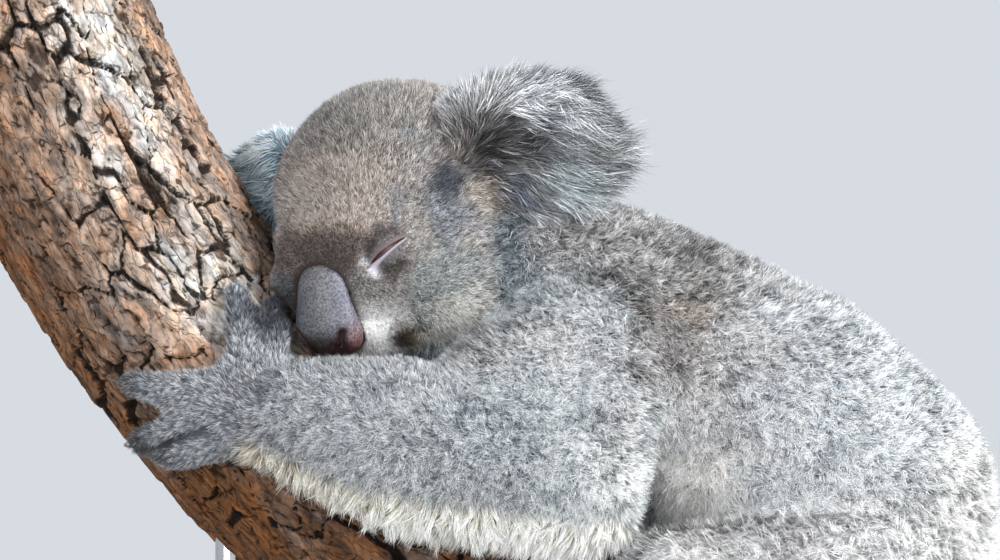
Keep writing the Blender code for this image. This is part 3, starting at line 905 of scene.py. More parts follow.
# %% The pale fringe and the last touches
# the fringe is cream at the wrist and white at the elbow
pale_edge = np.clip(fringe + 0.5 * ease(fringe, skin_edges, 24), 0, 1)
toward_elbow = smooth_step(skin_points[:, 0], WRIST["left"][0], ELBOW["left"][0])[:, None]
edge_colour = (1 - toward_elbow) * np.array([0.51, 0.48, 0.40]) + toward_elbow * np.array([0.95, 1.0, 0.97])
skin_colour += (pale_edge * 0.9)[:, None] * (edge_colour - skin_colour)
# painted shade in the groove between the fingers
finger_gap_shade = np.exp(-((finger_gap / 3.2) ** 2))
skin_colour *= (1 - 0.9 * finger_gap_shade)[:, None]
cream = np.clip(ear_out + 0.5 * ear_front, 0, 1) * smooth_step(ear_out, 0.1, 0.9)
skin_colour += (cream * 0.45)[:, None] * (np.array([0.22, 0.24, 0.25]) - skin_colour)
skin_colour *= (1 + 0.10 * layered_noise(skin_points, 9, 31))[:, None]
skin_colour = ease(skin_colour, skin_edges, 1)

# %% [markdown]
# ## Bare places
#
# No hair grows on the lids, the nose pad or in the mouth. A field from 0 to 1
# says how much coat a point carries. Bare skin gets colours of its own: pink
# grey on the upper lid, pale lilac below the slit.

# %% Bare skin and how thick the coat is
hair_cover = np.ones(len(skin_points))
bare_colour = skin_colour * 0.42
for side in ("left", "right"):
    place = eye_places[side]
    off_line = place[:, 1] - slit_line(place[:, 0])
    toward_outer = np.clip((place[:, 0] + SLIT_HALF_LENGTH) / (2 * SLIT_HALF_LENGTH), 0, 1)
    near_slit = 1 - smooth_step(np.abs(place[:, 0]), SLIT_HALF_LENGTH - 0.5, SLIT_HALF_LENGTH + 1.2)
    near_slit = near_slit * (place[:, 2] > -2)
    band = 3.5 - 2.5 * toward_outer
    lower = near_slit * smooth_step(off_line, -band - 0.7, -band + 0.5) * (off_line < 0.3)
    upper_reach = 5.2 * np.sqrt(np.clip(1 - (place[:, 0] / 12.5) ** 2, 0, 1))
    upper = near_slit * (1 - smooth_step(off_line, upper_reach - 1, upper_reach + 0.6))
    upper = upper * (off_line >= 0.3)
    corner = np.exp(-(((place[:, 0] + 12.5) / 3.2) ** 2 + ((place[:, 1] + 4.0) / 4.6) ** 2))
    corner = corner * (place[:, 2] > -2)
    if side == "right":
        lower, upper, corner = lower * 0.1, upper * 0.1, corner * 0.1
    hair_cover *= (1 - lower) * (1 - 0.3 * upper) * (1 - 0.8 * corner)
    bare_colour += lower[:, None] * (np.array([0.37, 0.325, 0.39]) - bare_colour)
    bare_colour += upper[:, None] * (np.array([0.15, 0.115, 0.118]) - bare_colour)
    bare_colour += corner[:, None] * (np.array([0.60, 0.57, 0.66]) - bare_colour)
    wet = smooth_step(slit_half_width(place[:, 0]) - np.abs(off_line), -0.5, 0.0) * near_slit
    bare_colour += wet[:, None] * (np.array([0.045, 0.010, 0.008]) - bare_colour)
    hair_cover *= 1 - near_slit * (1 - smooth_step(np.abs(off_line), 1.4, 2.2))

# %% Bare mouth, ear holes and finger gap
mouth_and_shaded_furrow = np.exp(-((distance_to_line(skin_points, mouth_stops) / 1.7) ** 2))
mouth_and_shaded_furrow = np.maximum(mouth_and_shaded_furrow, 1 - smooth_step(pad_gap, 0.9, 2.8))
hair_cover *= 1 - mouth_and_shaded_furrow
for side in EAR_HOLES:
    from_hole = np.linalg.norm(skin_points - EAR_HOLES[side], axis=1) / MM
    hair_cover *= 0.35 + 0.65 * smooth_step(from_hole, 6, 12)
hair_cover *= 1 - np.exp(-((finger_gap / 2.4) ** 2))
# the mouth is dark, and the furrow round the nose pad is painted with its shade
bare_colour += mouth_and_shaded_furrow[:, None] * (np.array([0.03, 0.018, 0.015]) - bare_colour)
print("points that carry hair:", int((hair_cover > 0.5).sum()))

# %% [markdown]
# ## Finishes from nodes
#
# Every finish below is a Principled shader, most with a colour that varies
# and a small bump. One helper builds the shader, others add a noise or read a
# colour that is stored in the mesh, so that each finish stays a short recipe.


# %% Finish helpers
def new_finish(name, colour=(0.5, 0.5, 0.5), rough=0.6, metal=0.0):
    """A fresh material: returns it, its node tree and its main shader."""
    material = bpy.data.materials.new(name)
    material.use_nodes = True
    tree = material.node_tree
    shader = tree.nodes["Principled BSDF"]
    shader.inputs["Base Color"].default_value = (*colour, 1)
    shader.inputs["Roughness"].default_value = rough
    shader.inputs["Metallic"].default_value = metal
    return material, tree, shader


def add_node(tree, kind, **settings):
    """A node with some of its settings or input values filled in."""
    node = tree.nodes.new(kind)
    for name, value in settings.items():
        if name in node.inputs:
            node.inputs[name].default_value = value
        else:
            setattr(node, name, value)
    return node


# %% Patterns from nodes
def noise_of(tree, scale, detail=4.0, rough=0.55, stretch=(1, 1, 1)):
    """A noise in the object's own space; stretch squeezes it along an axis."""
    where = add_node(tree, "ShaderNodeTexCoord")
    squeeze = add_node(tree, "ShaderNodeMapping")
    squeeze.inputs["Scale"].default_value = stretch
    tree.links.new(where.outputs["Object"], squeeze.inputs["Vector"])
    noise = add_node(tree, "ShaderNodeTexNoise", Scale=scale, Detail=detail, Roughness=rough)
    tree.links.new(squeeze.outputs["Vector"], noise.inputs["Vector"])
    return noise.outputs["Fac"]


def ramp_of(tree, factor, stops):
    """A colour ramp: stops are (position, colour)."""
    ramp = tree.nodes.new("ShaderNodeValToRGB")
    while len(ramp.color_ramp.elements) < len(stops):
        ramp.color_ramp.elements.new(0.5)
    for element, (position, colour) in zip(ramp.color_ramp.elements, stops):
        element.position = position
        element.color = (*colour, 1)
    tree.links.new(factor, ramp.inputs["Fac"])
    return ramp.outputs["Color"]


# %% Sums, products and relief from nodes
def times(tree, first, second, amount=1.0):
    """Two colours multiplied."""
    mix = tree.nodes.new("ShaderNodeMix")
    mix.data_type = "RGBA"
    mix.blend_type = "MULTIPLY"
    mix.inputs[0].default_value = amount
    tree.links.new(first, mix.inputs[6])
    tree.links.new(second, mix.inputs[7])
    return mix.outputs[2]


def multiply_add(tree, value, factor, added):
    """A value times a factor, plus another value."""
    node = add_node(tree, "ShaderNodeMath", operation="MULTIPLY_ADD")
    node.inputs[1].default_value = factor
    tree.links.new(value, node.inputs[0])
    tree.links.new(added, node.inputs[2])
    return node.outputs["Value"]


def remapped(tree, value, start, end, low=0.0, high=1.0):
    """A value turned from the span start to end into the span low to high."""
    node = add_node(tree, "ShaderNodeMapRange")
    node.inputs["From Min"].default_value = start
    node.inputs["From Max"].default_value = end
    node.inputs["To Min"].default_value = low
    node.inputs["To Max"].default_value = high
    tree.links.new(value, node.inputs["Value"])
    return node.outputs["Result"]


def stored(tree, name):
    """A colour stored in the mesh."""
    return add_node(tree, "ShaderNodeAttribute", attribute_name=name).outputs["Color"]


def add_bump(tree, shader, height, strength, distance):
    """Small relief from a height."""
    bump = add_node(tree, "ShaderNodeBump", Strength=strength, Distance=distance * MM)
    tree.links.new(height, bump.inputs["Height"])
    tree.links.new(bump.outputs["Normal"], shader.inputs["Normal"])


# %% Skin finish
skin_finish, tree, shader = new_finish("koala skin", rough=0.62)
fine = noise_of(tree, 900, 5)
speckle = ramp_of(tree, fine, [(0.25, (0.72, 0.70, 0.70)), (0.75, (1.0, 1.0, 1.0))])
tree.links.new(times(tree, stored(tree, "bare"), speckle), shader.inputs["Base Color"])
add_bump(tree, shader, fine, 0.5, 0.35)
shader.inputs["Specular IOR Level"].default_value = 0.2
skin = mesh_object("koala_skin", skin_points, skin_triangles)
paint(skin.data, "bare", bare_colour)
skin.data.materials.append(skin_finish)
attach(skin, "root")
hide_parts(*FLESH)
print("skin faces:", len(skin_triangles))

# %% [markdown]
# ## The coat's finish
#
# Fur scatters light softly and has a faint sheen at grazing angles. Every
# tuft carries its own colour from root to tip, so the finish only adds fine
# streaks and a rough surface.

# %% Fur finish
def fur_finish(name, rough, sheen):
    """The finish of the coat."""
    material, tree, shader = new_finish(name, rough=rough)
    streak = noise_of(tree, 1300, 3)
    tone = ramp_of(tree, streak, [(0.36, (0.66, 0.66, 0.67)), (0.62, (1.08, 1.08, 1.07))])
    tree.links.new(times(tree, stored(tree, "coat"), tone), shader.inputs["Base Color"])
    shader.inputs["Specular IOR Level"].default_value = 0.25
    shader.inputs["Sheen Weight"].default_value = sheen
    shader.inputs["Sheen Roughness"].default_value = 0.5
    return material


body_fur = fur_finish("woolly grey fur", 0.85, 0.12)
ear_fur = fur_finish("silky ear fur", 0.75, 0.15)

# %% [markdown]
# ## Growing tufts
#
# Hair particles would be quick, but a library part needs solid mesh. So each
# tuft is a thin blade that leaves the skin at its lift and ends in a point.
# Short hair is a single sliver, as no one would see it bend; the long hair of
# the ears and the fringe bends over in three lengths. Blades are sown at random
# on the skin, more of them where the hair is short. Neighbours share a clump:
# their tips lean to one place and they share a tone, which gives the woolly
# look. Where thick fur parts, its dark underside shows and shade falls in: hairs
# that root along broken wandering lines are painted darker for both. All blades
# of a region are joined into one mesh.


# %% Sow the roots
SHORTEST = 3.0
CROWDING = 0.4


def at_roots(values, picked, shares):
    """A field of the skin read at the roots."""
    corners = values[skin_triangles[picked]]
    if corners.ndim == 2:
        return np.sum(corners * shares, axis=1)
    return np.sum(corners * shares[:, :, None], axis=1)


def sow(faces, count, random):
    """Random roots on the skin's faces: the face of each and its share of the corners."""
    density = hair_cover / np.maximum(hair_length, SHORTEST) ** CROWDING
    first, second, third = (skin_points[skin_triangles[faces, k]] for k in range(3))
    area = np.linalg.norm(np.cross(second - first, third - first), axis=1) / 2
    weight = area * density[skin_triangles[faces]].mean(axis=1)
    picked = faces[random.choice(len(faces), count, p=weight / weight.sum())]
    side = np.sqrt(random.random(count))
    turn = random.random(count)
    shares = np.stack([1 - side, side * (1 - turn), side * turn], axis=1)
    stays = random.random(count) < at_roots(hair_cover, picked, shares)
    return picked[stays], shares[stays]


# %% [markdown]
# ## How the kinds of hair look
#
# The coat has five kinds of hair. Plush covers the head, woolly the body and
# sleek the hands. Silky hair fills the ears, and locks hang from the forearm.
# Each kind is one row of a table.

# %% The looks of the hair
# how many bends a blade has, how many blades share a clump, how far their tips gather,
# how much a clump and a blade stray from the lie, how dark roots and pale tips are,
# and how much blades differ in tone
LOOKS = {
    "plush": (0, 4, 0.30, 0.50, 0.50, 0.20, 1.68, 0.70),
    "woolly": (0, 9, 0.62, 0.90, 0.60, 0.10, 1.88, 0.56),
    "sleek": (0, 6, 0.35, 0.30, 0.28, 0.12, 1.72, 0.80),
    "silky": (2, 9, 0.38, 0.20, 0.17, 0.05, 2.00, 0.62),
    "locks": (2, 22, 0.62, 0.42, 0.20, 0.40, 1.55, 0.22),
}
# the fringe is yellowed at its roots, and a few hairs of the ear are pale and long
ROOT_TINT = {"locks": np.array([1.05, 0.88, 0.68])}
PALE_GUARD = np.array([0.15, 0.155, 0.165])


# %% Hair at the roots
def hair_at(picked, shares, look, random):
    """Each hair's length, width and colour, before clumps change its tone."""
    count = len(picked)
    length = at_roots(hair_length, picked, shares) * MM * (0.7 + 0.5 * random.random(count))
    colour = at_roots(skin_colour, picked, shares)
    if look == "silky":
        length *= np.where(random.random(count) < 0.05, 1.35, 1)
        guard = random.random(count) < 0.08
        colour[guard] = np.maximum(colour[guard], PALE_GUARD)
    if look == "locks":
        length *= 0.45 + 0.8 * random.random(count)
    if look == "woolly":
        # where the coat parts, its hairs are painted darker: partly the darker underfur, partly the shade
        # in the parting
        root = at_roots(skin_points, picked, shares)
        line = 1 - smooth_step(np.abs(layered_noise(root, 13, 303)), 0.03, 0.20)
        broken = smooth_step(layered_noise(root, 16, 307), -0.35, 0.15)
        colour = colour * (1.09 - 0.62 * line * broken)[:, None]
    width = at_roots(tuft_width, picked, shares) * MM * (0.7 + 0.6 * random.random(count))
    return length, width, colour


def in_clumps(root, clump_size, random):
    """The roots that are clump middles, and the number of each root's own clump."""
    clumps = random.choice(len(root), max(len(root) // clump_size, 1), replace=False)
    tree = KDTree(len(clumps))
    for number, place in enumerate(root[clumps]):
        tree.insert(place, number)
    tree.balance()
    return clumps, np.array([tree.find(place)[1] for place in root])


# %% Colours from root to tip
def tuft_colours(colour, clump_tone, heights, look, random):
    """A colour for each point of each blade; heights run from 0 at a root to 1 at a tip."""
    root_tone, tip_tone, spread = LOOKS[look][5:]
    count = len(colour)
    tone = clump_tone * np.exp(random.normal(0, 0.7 * spread, count))
    pale = random.random(count) < 0.16
    tone = np.where(pale, tone * 1.45, tone)
    dark = random.random(count) < 0.6 * spread
    tone = np.where(dark, tone * 0.35, tone)
    # white hair is white down to its root, or it would look grizzled
    whiteness = smooth_step(colour.mean(axis=1), 0.78, 1.0)
    tone = np.maximum(tone, 0.85 * whiteness)
    ends = np.clip(heights / 0.85, 0, 1)[None, :, None]
    shade = root_tone * (1 - ends) + tip_tone * ends
    shade = np.maximum(shade, (0.8 if look == "plush" else 0.35) * whiteness[:, None, None])
    warm_root = ROOT_TINT.get(look, (1, 1, 1)) * (1 - ends) + ends
    return colour[:, None, :] * warm_root * shade * np.clip(tone, 0.12, 2.3)[:, None, None]


# %% [markdown]
# ## A patch of paint for each tuft
#
# The exported model keeps its colours in an image. Each tuft gets a small
# patch of an image at the place of its root, on an unwrap of the skin's own
# shape. Neighbouring tufts then have neighbouring patches.


# %% Unwrap a region of the skin
def unwrapped(faces):
    """Where the corners of these skin faces lie on an unwrap of their own."""
    used, renumbered = np.unique(skin_triangles[faces], return_inverse=True)
    pattern = mesh_object("pattern", skin_points[used], renumbered.reshape(-1, 3))
    pattern.data.uv_layers.new(name="OFBake")
    bpy.ops.object.select_all(action="DESELECT")
    pattern.select_set(True)
    bpy.context.view_layer.objects.active = pattern
    bpy.ops.object.mode_set(mode="EDIT")
    bpy.ops.mesh.select_all(action="SELECT")
    bpy.ops.uv.smart_project(angle_limit=math.radians(75), island_margin=0.004)
    bpy.ops.object.mode_set(mode="OBJECT")
    flat = np.empty(len(pattern.data.loops) * 2, dtype=np.float32)
    pattern.data.uv_layers["OFBake"].data.foreach_get("uv", flat)
    bpy.data.objects.remove(pattern)
    return flat.reshape(-1, 3, 2)


# %% Faces and patches of the blades
PATCH = 0.003


def blade_faces(levels):
    """The triangles of one blade: two for each length below its pointed one."""
    strip = []
    for a in range(0, (levels - 1) * 2, 2):
        strip += [(a, a + 3, a + 1), (a, a + 2, a + 3)]
    last = levels * 2
    strip.append((last - 2, last, last - 1))
    return np.array(strip)


def tuft_patches(faces, picked, shares, heights):
    """Where each point of each blade lies in the image: a small patch at its root's place."""
    pattern = np.zeros((len(skin_triangles), 3, 2), dtype=np.float32)
    pattern[faces] = unwrapped(faces)
    spot = np.sum(pattern[picked] * shares[:, :, None], axis=1)
    step = np.empty((len(heights), 2))
    step[:, 1] = heights * PATCH
    step[0::2, 0] = 0
    step[1::2, 0] = PATCH
    step[-1, 0] = PATCH / 2
    return spot[:, None, :] + step[None]


def area_of(faces):
    """The area of some of the skin's faces, in square millimetres."""
    corners = skin_points[skin_triangles[faces]]
    wide = np.cross(corners[:, 1] - corners[:, 0], corners[:, 2] - corners[:, 0])
    return np.linalg.norm(wide, axis=1).sum() / 2 / MM**2


# %% [markdown]
# ## From root to tip
#
# Everything about a tuft is now known but its curve. A blade rises at its
# lift, droops if it is long, and curls a little aside. Its tip leans towards
# the tip of its clump's middle blade, by less than half its own length. The
# blades take the shading of the soft coat under them, not of their own thin
# faces, so that the fur looks deep.


# %% Bend the blades
# half a blade's width at the start of each of its lengths, as a share of the tuft's width
HALF_WIDTHS = (0.42, 0.5, 0.36)


def bent_blades(root, normal, lie, lift, curl, length, width, look, clumps, mine, random):
    """The points of every blade, and how far up its blade each one lies."""
    bends, _, gather_tips = LOOKS[look][:3]
    across = unit(np.cross(normal, lie))

    def along_blade(part):
        """Each blade's middle line at a part of its length."""
        droop = 0.27 if bends else 0.0
        flat = (np.cos(lift) * part + 0.4 * droop * part**2) * length
        rise = (np.sin(lift) * part - droop * part**2) * length
        aside = across * (curl * length * part**2)[:, None]
        return root + aside + lie * flat[:, None] + normal * (rise - 0.3 * MM * (1 - part))[:, None]

    pull = gather_tips * (0.6 + 0.6 * random.random(len(root)))
    tips = along_blade(1.0)
    lean = (tips[clumps][mine] - tips) * pull[:, None]
    limit = 0.45 * length / np.maximum(np.linalg.norm(lean, axis=1), 1e-9)
    lean *= np.minimum(limit, 1)[:, None]
    levels = bends + 1
    points = np.empty((len(root), levels * 2 + 1, 3))
    heights = np.ones(levels * 2 + 1)
    for level in range(levels):
        part = level / levels
        line = along_blade(part) + lean * part**1.6
        half = width * HALF_WIDTHS[level]
        points[:, level * 2] = line - across * half[:, None]
        points[:, level * 2 + 1] = line + across * half[:, None]
        heights[level * 2: level * 2 + 2] = part
    points[:, -1] = tips + lean
    return points, heights


# %% Grow one region
def grow(name, faces, count, seed, look):
    """One joined mesh of tufts on these faces of the skin."""
    random = np.random.default_rng(seed)
    bends, clump_size, _, clump_stray, stray, _, _, spread = LOOKS[look]
    picked, shares = sow(faces, count, random)
    count = len(picked)
    root = at_roots(skin_points, picked, shares)
    normal = unit(at_roots(skin_normals, picked, shares))
    lie = flat_on(at_roots(skin_lie, picked, shares), normal)
    lift = np.radians(at_roots(hair_lift, picked, shares))
    length, width, colour = hair_at(picked, shares, look, random)

    clumps, mine = in_clumps(root, clump_size, random)
    clump_turn = random.normal(0, clump_stray, len(clumps))
    clump_lift = random.normal(0, 0.15, len(clumps))
    clump_tone = np.exp(random.normal(0, 0.9 * spread, len(clumps)))
    turn = (clump_turn[mine] + random.normal(0, stray, count))[:, None]
    curl = random.normal(0, 0.5 * stray, count)
    lift = np.clip(lift + clump_lift[mine] + random.normal(0, 0.12, count), 0.12, 1.3)
    lie = lie * np.cos(turn) + np.cross(normal, lie) * np.sin(turn)
    points, heights = bent_blades(
        root, normal, lie, lift, curl, length, width, look, clumps, mine, random
    )
    colours = tuft_colours(colour, clump_tone[mine], heights, look, random)

    per = len(heights)
    strip = blade_faces(bends + 1)
    triangles = (np.arange(count) * per)[:, None, None] + strip
    coat = mesh_object(name, points.reshape(-1, 3), triangles.reshape(-1, 3))
    paint(coat.data, "coat", colours.reshape(-1, 3))
    soft = unit(normal + 0.22 * random.normal(0, 1, (count, 3)) - 0.15 * lie)
    coat.data.normals_split_custom_set_from_vertices(np.repeat(soft, per, axis=0))
    patches = tuft_patches(faces, picked, shares, heights)
    layer = coat.data.uv_layers.new(name="OFBake")
    layer.data.foreach_set("uv", patches[:, strip.ravel()].astype(np.float32).ravel())
    coat.data.materials.append(ear_fur if bends else body_fur)
    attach(coat, "root")
    density = count / area_of(faces)
    print(f"{name}: {count} tufts, {count * len(strip)} triangles, {density:.2f} a mm2")


# %% [markdown]
# ## Region by region
#
# A mesh of a million blades is awkward to handle, so the coat is grown in
# regions. Each region's share of the blades follows its size, how short its
# hair is and how well it is seen: the side turned away carries fewer.

# %% Regions of the coat
face_middle = skin_points[skin_triangles].mean(axis=1)
face_owner = skin_owner[skin_triangles[:, 0]]
face_kind = np.array(owner_kinds)[face_owner]
face_left = face_middle[:, 1] < 0
face_head = head_coords(face_middle)
is_head = np.isin(face_kind, ["head", "eye", "nose"])
is_ear = face_kind == "ear"
ear_is_left = face_head[:, 1] > 0
low_x, high_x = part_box("torso")[0][0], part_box("torso")[1][0]
is_hind = (face_kind == "torso") & (face_middle[:, 0] > low_x + 0.5 * (high_x - low_x))
is_fore = (face_kind == "torso") & ~is_hind
is_arm = np.isin(face_kind, ["upper_arm", "forearm"])
is_hand = face_kind == "hand"
is_leg = np.isin(face_kind, ["thigh", "shin", "foot"])
uneven = 0.3 * soft_noise(face_middle, 5, 71)
is_fringe = fringe[skin_triangles].mean(axis=1) + uneven > 0.4
is_arm = is_arm & ~is_fringe
is_hand = is_hand & ~is_fringe
REGIONS = {
    "coat_face": (is_head & (face_head[:, 0] > 42), 150000, "plush"),
    "coat_crown": (is_head & (face_head[:, 0] <= 42), 115000, "plush"),
    "coat_ear_left": (is_ear & ear_is_left, 37000, "silky"),
    "coat_ear_right": (is_ear & ~ear_is_left, 10000, "silky"),
    "coat_neck": (face_kind == "neck", 72000, "woolly"),
    "coat_shoulders": (is_fore, 155000, "woolly"),
    "coat_rump": (is_hind, 170000, "woolly"),
    "coat_arm_left": (is_arm & face_left, 160000, "woolly"),
    "coat_arm_right": (is_arm & ~face_left, 74000, "woolly"),
    "coat_hand_left": (is_hand & face_left, 40000, "sleek"),
    "coat_hand_right": (is_hand & ~face_left, 24000, "sleek"),
    "coat_fringe_left": (is_fringe & face_left, 19000, "locks"),
    "coat_fringe_right": (is_fringe & ~face_left, 7000, "locks"),
    "coat_leg_left": (is_leg & face_left, 85000, "woolly"),
    "coat_leg_right": (is_leg & ~face_left, 58000, "woolly"),
}

# %% Grow the coat
for number, (name, (chosen, count, look)) in enumerate(REGIONS.items()):
    grow(name, np.flatnonzero(chosen), count, 100 + number, look)

# %% [markdown]
# ## Eyes
#
# The ball is dark and wet: a smooth surface with a clear coat over a very
# dark red brown. Only a line of it shows between the lids, but that glint
# gives the sleeping animal life.

# %% Eyeballs
eye_finish, tree, shader = new_finish("wet eye", (0.03, 0.012, 0.008), 0.35)
iris = noise_of(tree, 260, 3)
iris_tones = [(0.35, (0.020, 0.006, 0.005)), (0.65, (0.075, 0.018, 0.014))]
tree.links.new(ramp_of(tree, iris, iris_tones), shader.inputs["Base Color"])
shader.inputs["Coat Weight"].default_value = 0.25
shader.inputs["Coat Roughness"].default_value = 0.3
shader.inputs["Specular IOR Level"].default_value = 0.3
for side in ("left", "right"):
    centre, along_way, across_way, out_way = eye_frame(side)
    ball = bmesh.new()
    bmesh.ops.create_uvsphere(ball, u_segments=48, v_segments=24, radius=1)
    mesh = bpy.data.meshes.new("eyeball_" + side)
    ball.to_mesh(mesh)
    ball.free()
    shape = points_of(mesh) * np.array(BALL) * MM
    placed = np.outer(shape[:, 0], along_way) + np.outer(shape[:, 1], across_way)
    set_points(mesh, centre + placed + np.outer(shape[:, 2], out_way))
    mesh.polygons.foreach_set("use_smooth", np.ones(len(mesh.polygons), dtype=bool))
    eyeball = put_in_scene("eyeball_" + side, mesh)
    eyeball.data.materials.append(eye_finish)
    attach(eyeball, "root")
    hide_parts("eye_" + side)
print("eyeballs placed")

# %% [markdown]
# ## The nose
#
# A koala's nose is a tall leathery pad that reaches up between the eyes. The
# frame has its outline. Here it is wrapped afresh in fine squares, rounded,
# and given a nostril on each side as a comma-shaped dent, a shallow groove
# down the middle, and the pebbled grain of leather as bump.

# %% Shape the nose pad
nose_points, nose_triangles, _ = block_of(["nose"])
nose_points, nose_triangles = biggest_part(remeshed(nose_points, nose_triangles, 0.7))
nose_edges = edges_from(nose_triangles)
nose_points = ease(nose_points, nose_edges, 14, 0.5)
nose_normals = normals_of(nose_points, nose_triangles)
nose_points -= nose_normals * 0.3 * MM
nose_place = head_coords(nose_points)
NOSTRIL = [(94, 14, -25), (96, 12, -30), (95, 11, -34)]
dent = np.zeros(len(nose_points))
for sign in (1, -1):
    line = distance_to_line(nose_points, [on_head(f, sign * l, u) for f, l, u in NOSTRIL])
    dent = np.maximum(dent, np.exp(-((line / 2.5) ** 2)))
    mouth_end = np.linalg.norm(nose_points - on_head(95, sign * 10, -35), axis=1) / MM
    dent = np.maximum(dent, np.exp(-((mouth_end / 4.6) ** 2)))
wing = np.exp(-(((np.abs(nose_place[:, 1]) - 17) / 4) ** 2 + ((nose_place[:, 2] + 28) / 7) ** 2))
cleft = np.exp(-((nose_place[:, 1] / 1.2) ** 2)) * smooth_step(-nose_place[:, 2], 20, 30)
push = 1.2 * wing - 2.8 * dent - 0.8 * cleft + 0.16 * layered_noise(nose_points, 5, 77)
nose_points += nose_normals * (push * MM)[:, None]

# %% Colour the nose pad
nose_height = smooth_step(nose_place[:, 2] + 2.5 * soft_noise(nose_points, 4, 79), -32, -19)
leather, foot_leather = np.array([0.125, 0.124, 0.138]), np.array([0.020, 0.011, 0.009])
nose_colour = np.outer(nose_height, leather) + np.outer(1 - nose_height, foot_leather)
# a painted lilac sheen on both sides of the upper pad
painted_side_sheen = smooth_step(np.abs(nose_place[:, 1]), 6, 15) * (0.1 + 0.9 * nose_height)
nose_colour += (painted_side_sheen * 0.8)[:, None] * (np.array([0.105, 0.108, 0.150]) - nose_colour)
nose_colour += (wing * 0.8)[:, None] * (np.array([0.21, 0.135, 0.15]) - nose_colour)
rosy = smooth_step(np.abs(nose_place[:, 1]), 11, 14) * smooth_step(-nose_place[:, 2], 29, 33)
nose_colour += (0.7 * rosy)[:, None] * (np.array([0.125, 0.050, 0.042]) - nose_colour)
inside = np.clip(1.5 * dent, 0, 1)
nose_colour += inside[:, None] * (np.array([0.022, 0.004, 0.003]) - nose_colour)
nose_pad = mesh_object("nose_pad", nose_points, nose_triangles)
paint(nose_pad.data, "leather", nose_colour)
nose_finish, tree, shader = new_finish("nose leather", rough=0.5)
pebble = add_node(tree, "ShaderNodeTexVoronoi", Scale=1100.0)
where = add_node(tree, "ShaderNodeTexCoord")
tree.links.new(where.outputs["Object"], pebble.inputs["Vector"])
mottle = ramp_of(tree, noise_of(tree, 800, 4), [(0.38, (0.36, 0.36, 0.36)), (0.62, (1.16, 1.16, 1.16))])
tree.links.new(times(tree, stored(tree, "leather"), mottle), shader.inputs["Base Color"])
add_bump(tree, shader, pebble.outputs["Distance"], 0.55, 0.35)
nose_pad.data.materials.append(nose_finish)
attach(nose_pad, "root")
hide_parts("nose")
print("nose pad faces:", len(nose_triangles))

# %% [markdown]
# ## Claws
#
# The claws are strong curved hooks of horn, dark grey with paler streaks that
# run to the tip. The frame's claws are right in size and place but coarse, so
# each gets a smoother copy, and the claws of one hand or foot are joined.

# %% Smooth the claws
claw_finish, tree, shader = new_finish("horn", rough=0.33)
claw_tones = [(0.3, (0.030, 0.026, 0.024)), (0.55, (0.12, 0.10, 0.085)), (0.75, (0.36, 0.31, 0.25))]
horn = noise_of(tree, 240, 5, stretch=(1, 1, 3))
tree.links.new(ramp_of(tree, horn, claw_tones), shader.inputs["Base Color"])
add_bump(tree, shader, noise_of(tree, 900, 3, stretch=(1, 1, 4)), 0.3, 0.2)
shader.inputs["Coat Weight"].default_value = 0.3
for part in ("hand_left", "hand_right", "foot_left", "foot_right"):
    names = [name for name in frame["nodes"] if name.startswith("claw_" + part)]
    claw_points, claw_triangles, _ = block_of(names)
    claws = mesh_object("claws_" + part, claw_points, claw_triangles)
    smoother = claws.modifiers.new("smoother", "SUBSURF")
    smoother.levels = 2
    smoother.render_levels = 2
    claws.data.materials.append(claw_finish)
    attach(claws, "root")
    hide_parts(*names)
print("claws smoothed")

# %% [markdown]
# ## Bark
#
# The bough's axis is an arc, and a point of its surface has two numbers: how
# far along the arc it is and how far round. Old bark cracks into long plates.
# A cell pattern in those two numbers gives the plates: each point looks for
# the two nearest cell middles, and where they are equally far there is a
# crack. The pattern is stretched along the bough, as bark splits that way.

# %% The bough's own directions
# the arc that the frame's bough follows, in metres, and the slopes of its two cut ends
ARC_CENTRE = np.array([0.357, 0.0, 0.780])
ARC_RADIUS = 0.649
BOUGH_RADIUS = 0.066
HIGH_END = math.radians(74)
LOW_END = math.radians(5)
ROWS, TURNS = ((430, 232))


def bough_swell(slope, turn):
    """How thick the bough is there, as a share of its usual radius."""
    return 1 + 0.025 * np.sin(2 * turn + 3 * slope) + 0.018 * np.sin(3 * turn - 7 * slope + 1)


def on_bough(slope, turn, radius):
    """The place at a slope along the arc, a turn round it and a distance from its axis."""
    from_centre = ARC_RADIUS - radius * np.sin(turn)
    across = ARC_CENTRE[0] - from_centre * np.sin(slope)
    height = ARC_CENTRE[2] - from_centre * np.cos(slope)
    return np.stack([across, -radius * np.cos(turn), height], axis=-1)


# %% Plates and cracks
def plates(place, seed):
    """How far from a crack each place is, its plate's own number, and how far up the plate."""
    cell = np.floor(place).astype(np.int64)
    nearest = np.full(len(place), 9.0)
    second = np.full(len(place), 9.0)
    tone = np.zeros(len(place))
    upward = np.zeros(len(place))
    # the nearest cell middle is never more than one cell away
    for step in np.ndindex(3, 3, 3):
        corner = cell + np.array(step) - 1
        key = corner.astype(np.uint32)
        own = [corner_value(key, seed + axis) for axis in range(3)]
        offset = place - corner - np.stack(own, axis=1)
        far = np.linalg.norm(offset, axis=1)
        closer = far < nearest
        second = np.where(closer, nearest, np.minimum(second, far))
        tone = np.where(closer, own[0] * 7.31 % 1, tone)
        upward = np.where(closer, offset[:, 0], upward)
        nearest = np.where(closer, far, nearest)
    return second - nearest, tone, upward


slope_grid, turn_grid = np.meshgrid(
    np.linspace(HIGH_END, LOW_END, ROWS), np.arange(TURNS) / TURNS * 2 * math.pi, indexing="ij"
)
slope_grid, turn_grid = slope_grid.ravel(), turn_grid.ravel()
bare_radius = BOUGH_RADIUS * bough_swell(slope_grid, turn_grid)


def straightened(slope, turn, radius):
    """The same place on a straight bough that lies along X."""
    return np.stack([slope * ARC_RADIUS, radius * np.cos(turn), radius * np.sin(turn)], axis=-1)


